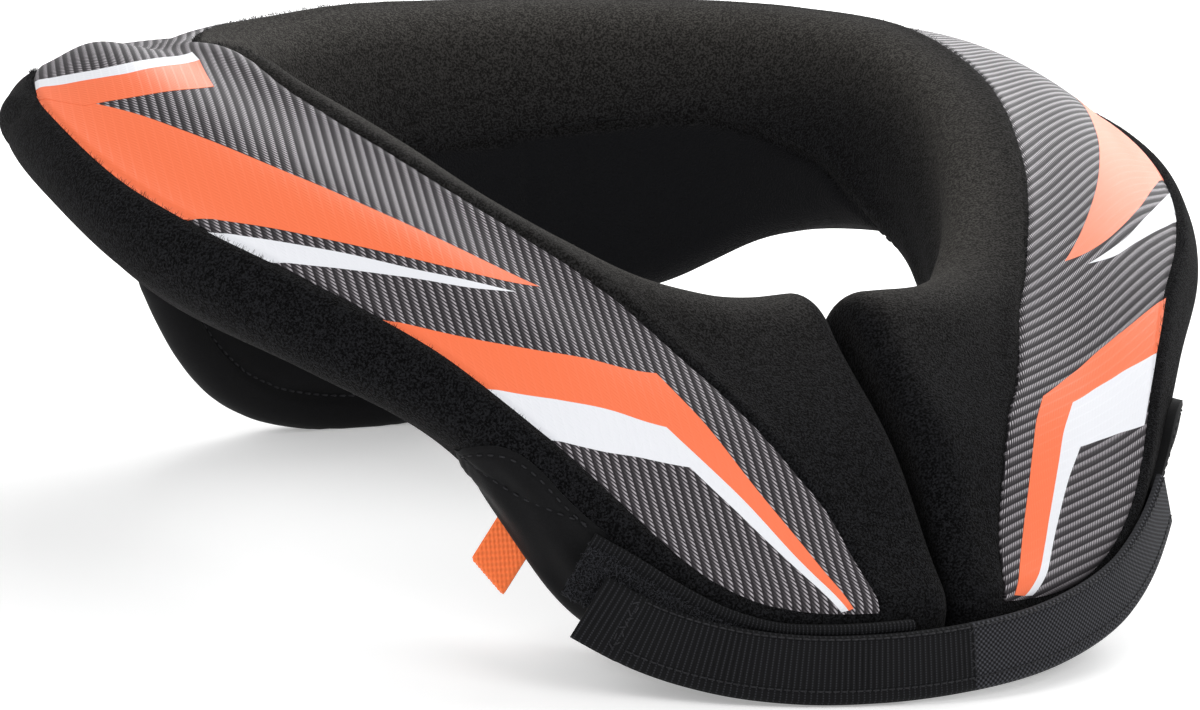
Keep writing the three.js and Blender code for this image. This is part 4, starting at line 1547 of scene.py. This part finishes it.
def loop_pile(settings, material, seed):
    """The loop strip's pile: short curled fibres over its face."""
    random = np.random.default_rng(seed)
    number = settings.pile_count
    tangle, curl, shortest, longest = 0.7, 0.35, 0.7, 1.5
    middle, along, stand, length = strap_line(LOOP_LINE, number)
    order = random.permutation(number)
    across = random.uniform(-0.49, 0.32, (number, 1)) * STRAP_WIDTH
    root = on_strap((middle[order], along[order], stand[order], length), across, LOOP_THICKNESS)[:, 0]
    way = unit(facing_away(root) + random.normal(0, tangle, (number, 3)))
    reach = random.uniform(shortest, longest, (number, 1))
    sag = random.normal(0, curl, (number, 3))
    points, faces = hairs(root, root + way * reach, width=0.09, sag=sag)
    return make_piece("loop_strip_pile", points, faces, material)


# Patches and tab

def below_brim(angle, along, lift):
    """A point (r, z) along millimetres below the brim's outermost, or on the face where along is minus."""
    above, _ = on_run(FACE, angle, face_span(angle) + along, lift)
    below, _ = on_run(BAND, angle, along, lift)
    return np.where((along < 0)[..., None], above, below)


def patch_line(side, angles, name, shift, lift):
    """Worn points along one of the patch's lines, shifted down and lifted off the band."""
    return place(side * angles, below_brim(angles, read(PATCH, PATCH_COLUMNS, name, angles) + shift, lift))


def patch_cloth(name, side, material):
    """A reinforcing patch laid on the outer band, from its curved upper edge down under the lower edge.

    It gives the patch's flat size too.
    """
    rows, columns = 90, 64
    angles = np.linspace(PATCH[0, 0], PATCH[-1, 0], rows)
    top, seam = (read(PATCH, PATCH_COLUMNS, line, angles)[:, None] for line in ("top", "seam"))
    low = PATCH_LOW * run_span(BAND, angles)[:, None]
    part = np.linspace(0, 1, columns)[None, :]
    along = top + (low - top) * part
    angle = np.broadcast_to(angles[:, None], along.shape)
    rim = np.minimum(part * (low - top), (PATCH[-1, 0] - angle) * MM_PER_DEGREE)
    pressed = hump(rim, 0, width=0.8, height=0.45) + hump(rim, PATCH_HEM, width=0.6, height=0.3)
    pressed = pressed + hump(along, seam, width=0.6, height=0.25)
    uneven = 0.25 * np.sin(0.9 * angle + 0.35 * along) * ease(rim, 2, 6)
    lift = PATCH_LIFT[side] - pressed + uneven
    upper, under = (place(side * angle, below_brim(angle, along, off)) for off in (lift, 0.0))
    return sheet_piece(name, upper, under, material), flat_size(upper)


def patch_stitches(material):
    """Dashes along the patches' upper edges and along the seam across them."""
    rows, from_tip, from_end, sunk = 90, 1.5, 0.6, 0.1
    angles = np.linspace(PATCH[0, 0] + from_tip, PATCH[-1, 0] - from_end, rows)
    paths = [
        patch_line(side, angles, name, shift, PATCH_LIFT[side] - sunk)
        for side in (-1, 1)
        for name, shift in (("top", PATCH_HEM), ("seam", 0.0))
    ]
    points, faces = beads(paths, [facing_away(path) for path in paths], **PATCH_STITCH)
    return make_piece("patch_stitches", points, faces, material)


def tab_frame():
    """The pull tab's root and its ways along the edge, down and out."""
    angle = TAB["angle"]
    reach = np.array([abs(angle)])
    edge = np.stack([read(SECTIONS, SECTION_COLUMNS, name, reach) for name in ("edge_r", "edge_z")], -1)
    root = round_neck(np.array([angle]), edge)[0]
    turn = math.radians(angle)
    out = np.array([math.sin(turn), -math.cos(turn), 0.0])
    ahead = np.array([math.cos(turn), math.sin(turn), 0.0])
    rise = np.array([0.0, 0.0, 1.0])
    along = ahead * math.cos(TAB["slope"]) - rise * math.sin(TAB["slope"])
    down = -ahead * math.sin(TAB["hang"]) - rise * math.cos(TAB["hang"])
    return root + along * TAB["ahead"], along, down, out


def pull_tab(settings, material):
    """The folded ribbon: a band that runs down, round a fold and up again, in basket weave.

    The weave is a product of sines across and along the ribbon that lifts every other cell.
    """
    leg_rows, bend_rows, columns = 60, 22, 64
    root, along, down, out = tab_frame()
    half = TAB["thickness"] / 2
    straight = TAB["length"] - half
    legs = np.linspace(-TAB["hidden"], straight, leg_rows)
    bend = np.linspace(0, np.pi, bend_rows)[1:-1]
    flat = np.ones(len(legs))
    depth = np.concatenate([legs, straight + half * np.sin(bend), legs[::-1]]) + TAB["drop"]
    stand = half * np.concatenate([flat, np.cos(bend), -flat])
    downward = np.concatenate([0 * flat, np.sin(bend), 0 * flat])
    run = path_lengths(np.stack([depth, stand], -1))
    across = np.linspace(-0.5, 0.5, columns) * TAB["width"]
    cell = settings.ribbon_cell / MM
    weave = np.sin(np.pi * run / cell)[:, None] * np.sin(np.pi * across / cell)[None, :]
    edge = ease(np.abs(across) / TAB["width"], 0.44, 0.5)[None, :]
    lift = TAB["relief"] * (weave * (1 - edge) - edge)
    middle = root + down * depth[:, None] + out * stand[:, None]
    base = middle[:, None] + along * across[None, :, None]
    way = (down * downward[:, None] + out * (stand / half)[:, None])[:, None]
    threads = np.stack(np.broadcast_arrays(run[:, None], across[None, :]), -1)
    outer, inner = base + way * lift[..., None], base - way * TAB["ribbon"]
    return sheet_piece("pull_tab_ribbon", outer, inner, material, threads)


# Stage

def look_matrix(eye, target, up):
    """A camera's or light's placing that looks from eye at target."""
    forward = (target - eye) / np.linalg.norm(target - eye)
    right = np.cross(forward, up)
    right /= np.linalg.norm(right)
    top = np.cross(right, forward)
    matrix = np.eye(4)
    matrix[:3, 0], matrix[:3, 1], matrix[:3, 2], matrix[:3, 3] = right, top, -forward, eye
    return Matrix(matrix.tolist())


def stage(settings):
    """A pale floor, soft studio light and the camera at the photograph's angle."""
    scene = bpy.context.scene
    mesh = bpy.data.meshes.new("floor")
    corners = [(x * FLOOR_REACH, y * FLOOR_REACH, 0) for x, y in ((-1, -1), (1, -1), (1, 1), (-1, 1))]
    mesh.from_pydata(corners, [], [(0, 1, 2, 3)])
    material, _, shader = new_material("pale floor", roughness=0.9, specular=0.0)
    shader.inputs["Base Color"].default_value = (*settings.floor_colour, 1)
    shader.inputs["Emission Color"].default_value = (1, 1, 1, 1)
    shader.inputs["Emission Strength"].default_value = settings.floor_glow
    mesh.materials.append(material)
    floor = bpy.data.objects.new("floor", mesh)
    scene.collection.objects.link(floor)
    world = bpy.data.worlds.new("studio")
    world.use_nodes = True
    surround = world.node_tree.nodes["Background"]
    surround.inputs["Color"].default_value = (1, 1, 1, 1)
    surround.inputs["Strength"].default_value = settings.surround_light
    scene.world = world
    for name, light in LIGHTS.items():
        lamp = bpy.data.lights.new(name, "AREA")
        lamp.size = light["size"]
        lamp.energy = getattr(settings, name.replace(" ", "_"))
        lit = bpy.data.objects.new(name, lamp)
        lit.matrix_world = look_matrix(np.array(light["place"]), np.array(LIGHT_AIM), np.array([0, 0, 1.0]))
        scene.collection.objects.link(lit)
    level = math.cos(CAMERA_RISE)
    aside, ahead = math.sin(CAMERA_SWING) * level, math.cos(CAMERA_SWING) * level
    forward = np.array([aside, ahead, -math.sin(CAMERA_RISE)])
    eye = np.array([0, 0, CAMERA_HEIGHT]) - forward * CAMERA_DISTANCE
    target = np.array([0, 0, CAMERA_HEIGHT - CAMERA_LOWERED])
    worn_up = tip_back(np.array([0, 0, 1.0])) - tip_back(np.zeros(3))
    lens = bpy.data.cameras.new("camera")
    lens.sensor_width = SENSOR_WIDTH
    lens.lens = SENSOR_WIDTH * PIXELS_PER_MM * CAMERA_DISTANCE / PIXELS_WIDE
    camera = bpy.data.objects.new("camera", lens)
    camera.matrix_world = look_matrix(tip_back(eye) * MM, tip_back(target) * MM, worn_up)
    scene.collection.objects.link(camera)
    scene.camera = camera
    scene.view_settings.view_transform = "Standard"


# Add-on

class NeckRollSettings(bpy.types.PropertyGroup):
    """Colours, thread sizes and light of the neck roll."""

    fleece_colour: bpy.props.FloatVectorProperty(
        name="Fleece", description="Colour of the brushed fleece", subtype="COLOR", size=3,
        default=(0.0046, 0.0047, 0.0053))
    # Painted highlight: the light colour that the crown mask puts on the ridge.
    ridge_highlight_colour: bpy.props.FloatVectorProperty(
        name="Ridge", description="Colour of the fibres' tips on the brushed ridge", subtype="COLOR", size=3,
        default=(0.085, 0.08, 0.074))
    fleece_sheen: bpy.props.FloatProperty(
        name="Fleece sheen", description="How much the fleece lightens at a glancing look",
        default=0.045, subtype="FACTOR")
    rim_colour: bpy.props.FloatVectorProperty(
        name="Rim", description="Colour of the worn lower rim", subtype="COLOR", size=3,
        default=(0.045, 0.043, 0.042))
    twill_light: bpy.props.FloatVectorProperty(
        name="Twill ribs", description="Colour of the twill's ribs", subtype="COLOR", size=3,
        default=(0.49, 0.452, 0.488))
    twill_dark: bpy.props.FloatVectorProperty(
        name="Twill gaps", description="Colour between the ribs", subtype="COLOR", size=3,
        default=(0.02, 0.0175, 0.02))
    orange: bpy.props.FloatVectorProperty(
        name="Orange", description="Colour of the orange print", subtype="COLOR", size=3,
        default=(0.93, 0.175, 0.062))
    white: bpy.props.FloatVectorProperty(
        name="White", description="Colour of the white print", subtype="COLOR", size=3,
        default=(0.8, 0.81, 0.85))
    webbing_colour: bpy.props.FloatVectorProperty(
        name="Webbing", description="Colour of the webbing", subtype="COLOR", size=3,
        default=(0.0042, 0.0043, 0.005))
    thread_colour: bpy.props.FloatVectorProperty(
        name="Thread", description="Colour of the stitching", subtype="COLOR", size=3,
        default=(0.024, 0.024, 0.027))
    ribbon_colour: bpy.props.FloatVectorProperty(
        name="Ribbon", description="Colour of the pull tab", subtype="COLOR", size=3,
        default=(1.0, 0.2, 0.047))
    floor_colour: bpy.props.FloatVectorProperty(
        name="Floor", description="Colour of the floor", subtype="COLOR", size=3,
        default=(0.9, 0.9, 0.9))
    floor_glow: bpy.props.FloatProperty(
        name="Floor glow", description="Light that the floor gives off by itself", default=0.32)
    rib_pitch: bpy.props.FloatProperty(
        name="Rib pitch", description="Distance from rib to rib of the twill", default=0.0021, unit="LENGTH")
    webbing_pitch: bpy.props.FloatProperty(
        name="Webbing pitch", description="Distance from rib to rib of the strap",
        default=0.00132, unit="LENGTH")
    binding_pitch: bpy.props.FloatProperty(
        name="Binding pitch", description="Distance from rib to rib of the loop strip's binding",
        default=0.001, unit="LENGTH")
    ribbon_cell: bpy.props.FloatProperty(
        name="Ribbon cell", description="Size of a cell of the ribbon's weave", default=0.0008, unit="LENGTH")
    stitch_pitch: bpy.props.FloatProperty(
        name="Stitch pitch", description="Distance from stitch to stitch", default=0.0028, unit="LENGTH")
    stitch_length: bpy.props.FloatProperty(
        name="Stitch length", description="Length of a stitch", default=0.002, unit="LENGTH")
    fuzz_length: bpy.props.FloatProperty(
        name="Fuzz length", description="Longest loose fibre at a seam", default=0.0015, unit="LENGTH")
    fuzz_count: bpy.props.IntProperty(
        name="Fuzz count", description="Loose fibres along the panel's seams", default=9000)
    pile_count: bpy.props.IntProperty(
        name="Pile count", description="Fibres on the loop strip", default=6000)
    seed: bpy.props.IntProperty(name="Seed", description="Where the random fibres start", default=7)
    surround_light: bpy.props.FloatProperty(
        name="Surround", description="Strength of the light from all round", default=0.48)
    top_light: bpy.props.FloatProperty(
        name="Top light", description="Power of the light overhead and behind", default=28.0, unit="POWER")
    side_light: bpy.props.FloatProperty(
        name="Side light", description="Power of the light at the wearer's right", default=6.0, unit="POWER")
    front_light: bpy.props.FloatProperty(
        name="Front light", description="Power of the light in front", default=6.0, unit="POWER")


class NECKROLL_OT_stage(bpy.types.Operator):
    """Set up the floor, the light and the camera"""

    bl_idname = "neckroll.stage"
    bl_label = "Stage"

    def execute(self, context):
        stage(context.scene.neck_roll)
        return {"FINISHED"}


class NECKROLL_OT_collar(bpy.types.Operator):
    """Cover the padded collar with fleece and sew the wall's seam"""

    bl_idname = "neckroll.collar"
    bl_label = "Collar cover"

    def execute(self, context):
        settings = context.scene.neck_roll
        cover = collar_cover(fleece_material(settings))
        finish_piece(cover, "collar_pad")
        thread = cloth_material("seam thread", shaded(settings.fleece_colour, 1.6), roughness=0.8)
        finish_piece(wall_seam_stitches(settings, thread))
        return {"FINISHED"}


class NECKROLL_OT_panel(bpy.types.Operator):
    """Lay the woven panel with its printed stripes and the fleece's fuzz at its seams"""

    bl_idname = "neckroll.panel"
    bl_label = "Woven panel"

    def execute(self, context):
        settings = context.scene.neck_roll
        cloth, size = top_panel(twill_material(settings))
        finish_piece(cloth, "top_panel")
        for colour, shade in (("orange", settings.orange), ("white", settings.white)):
            film = print_material(settings, f"{colour} print", shade)
            finish_piece(prints(colour, film))
        fuzz = cloth_material("loose fleece fibres", shaded(settings.fleece_colour, 2.2), roughness=0.9)
        finish_piece(seam_fuzz(settings, fuzz, settings.seed))
        return {"FINISHED"}


class NECKROLL_OT_rear_lobe(bpy.types.Operator):
    """Cover the rear lobe and stitch its border"""

    bl_idname = "neckroll.rear_lobe"
    bl_label = "Rear lobe"

    def execute(self, context):
        settings = context.scene.neck_roll
        cover = back_flap(cloth_material("lobe cloth", settings.webbing_colour, roughness=0.85))
        finish_piece(cover, "back_flap")
        thread = cloth_material("lobe thread", settings.thread_colour, roughness=0.7)
        finish_piece(flap_stitches(settings, thread))
        return {"FINISHED"}


class NECKROLL_OT_straps(bpy.types.Operator):
    """Make the front strap and the loop strip beneath it"""

    bl_idname = "neckroll.straps"
    bl_label = "Straps"

    def execute(self, context):
        settings = context.scene.neck_roll
        webbing = webbing_material(settings, "ribbed webbing", settings.webbing_pitch)
        finish_piece(strap(settings, webbing), "strap")
        thread = cloth_material("strap thread", settings.thread_colour, roughness=0.6)
        finish_piece(strap_stitches(thread))
        backing = webbing_material(settings, "ribbed binding", settings.binding_pitch)
        finish_piece(loop_strip(settings, backing), "loop_strip")
        pile = cloth_material("loop pile", shaded(settings.webbing_colour, 11.0), roughness=0.8)
        finish_piece(loop_pile(settings, pile, settings.seed + 1))
        return {"FINISHED"}


class NECKROLL_OT_patches(bpy.types.Operator):
    """Lay the two reinforcing patches and stitch them down"""

    bl_idname = "neckroll.patches"
    bl_label = "Patches"

    def execute(self, context):
        settings = context.scene.neck_roll
        cloth = cloth_material("patch cloth", settings.webbing_colour, roughness=0.8)
        for side, name, node in (
            (-1, "patch_cloth_right", "patch_right"),
            (1, "patch_cloth_left", "patch_left"),
        ):
            piece, size = patch_cloth(name, side, cloth)
            finish_piece(piece, node)
        thread = cloth_material("patch thread", settings.thread_colour, roughness=0.7)
        finish_piece(patch_stitches(thread))
        return {"FINISHED"}


class NECKROLL_OT_pull_tab(bpy.types.Operator):
    """Fold the ribbon of the pull tab"""

    bl_idname = "neckroll.pull_tab"
    bl_label = "Pull tab"

    def execute(self, context):
        settings = context.scene.neck_roll
        finish_piece(pull_tab(settings, ribbon_material(settings)), "pull_tab")
        return {"FINISHED"}


STEPS = (
    NECKROLL_OT_collar,
    NECKROLL_OT_panel,
    NECKROLL_OT_rear_lobe,
    NECKROLL_OT_straps,
    NECKROLL_OT_patches,
    NECKROLL_OT_pull_tab,
    NECKROLL_OT_stage,
)


class NECKROLL_PT_sidebar(bpy.types.Panel):
    """Lists the steps that dress the neck roll"""

    bl_idname = "NECKROLL_PT_sidebar"
    bl_label = "Neck roll"
    bl_space_type = "VIEW_3D"
    bl_region_type = "UI"
    bl_category = "Neck roll"

    def draw(self, context):
        for step in STEPS:
            self.layout.operator(step.bl_idname)


CLASSES = (NeckRollSettings, *STEPS, NECKROLL_PT_sidebar)


def register():
    for each in CLASSES:
        bpy.utils.register_class(each)
    bpy.types.Scene.neck_roll = bpy.props.PointerProperty(type=NeckRollSettings)


def unregister():
    del bpy.types.Scene.neck_roll
    for each in reversed(CLASSES):
        bpy.utils.unregister_class(each)


def main():
    register()
    bpy.ops.neckroll.collar()
    bpy.ops.neckroll.panel()
    bpy.ops.neckroll.rear_lobe()
    bpy.ops.neckroll.straps()
    bpy.ops.neckroll.patches()
    bpy.ops.neckroll.pull_tab()
    bpy.ops.neckroll.stage()


if __name__ == "__main__":
    main()
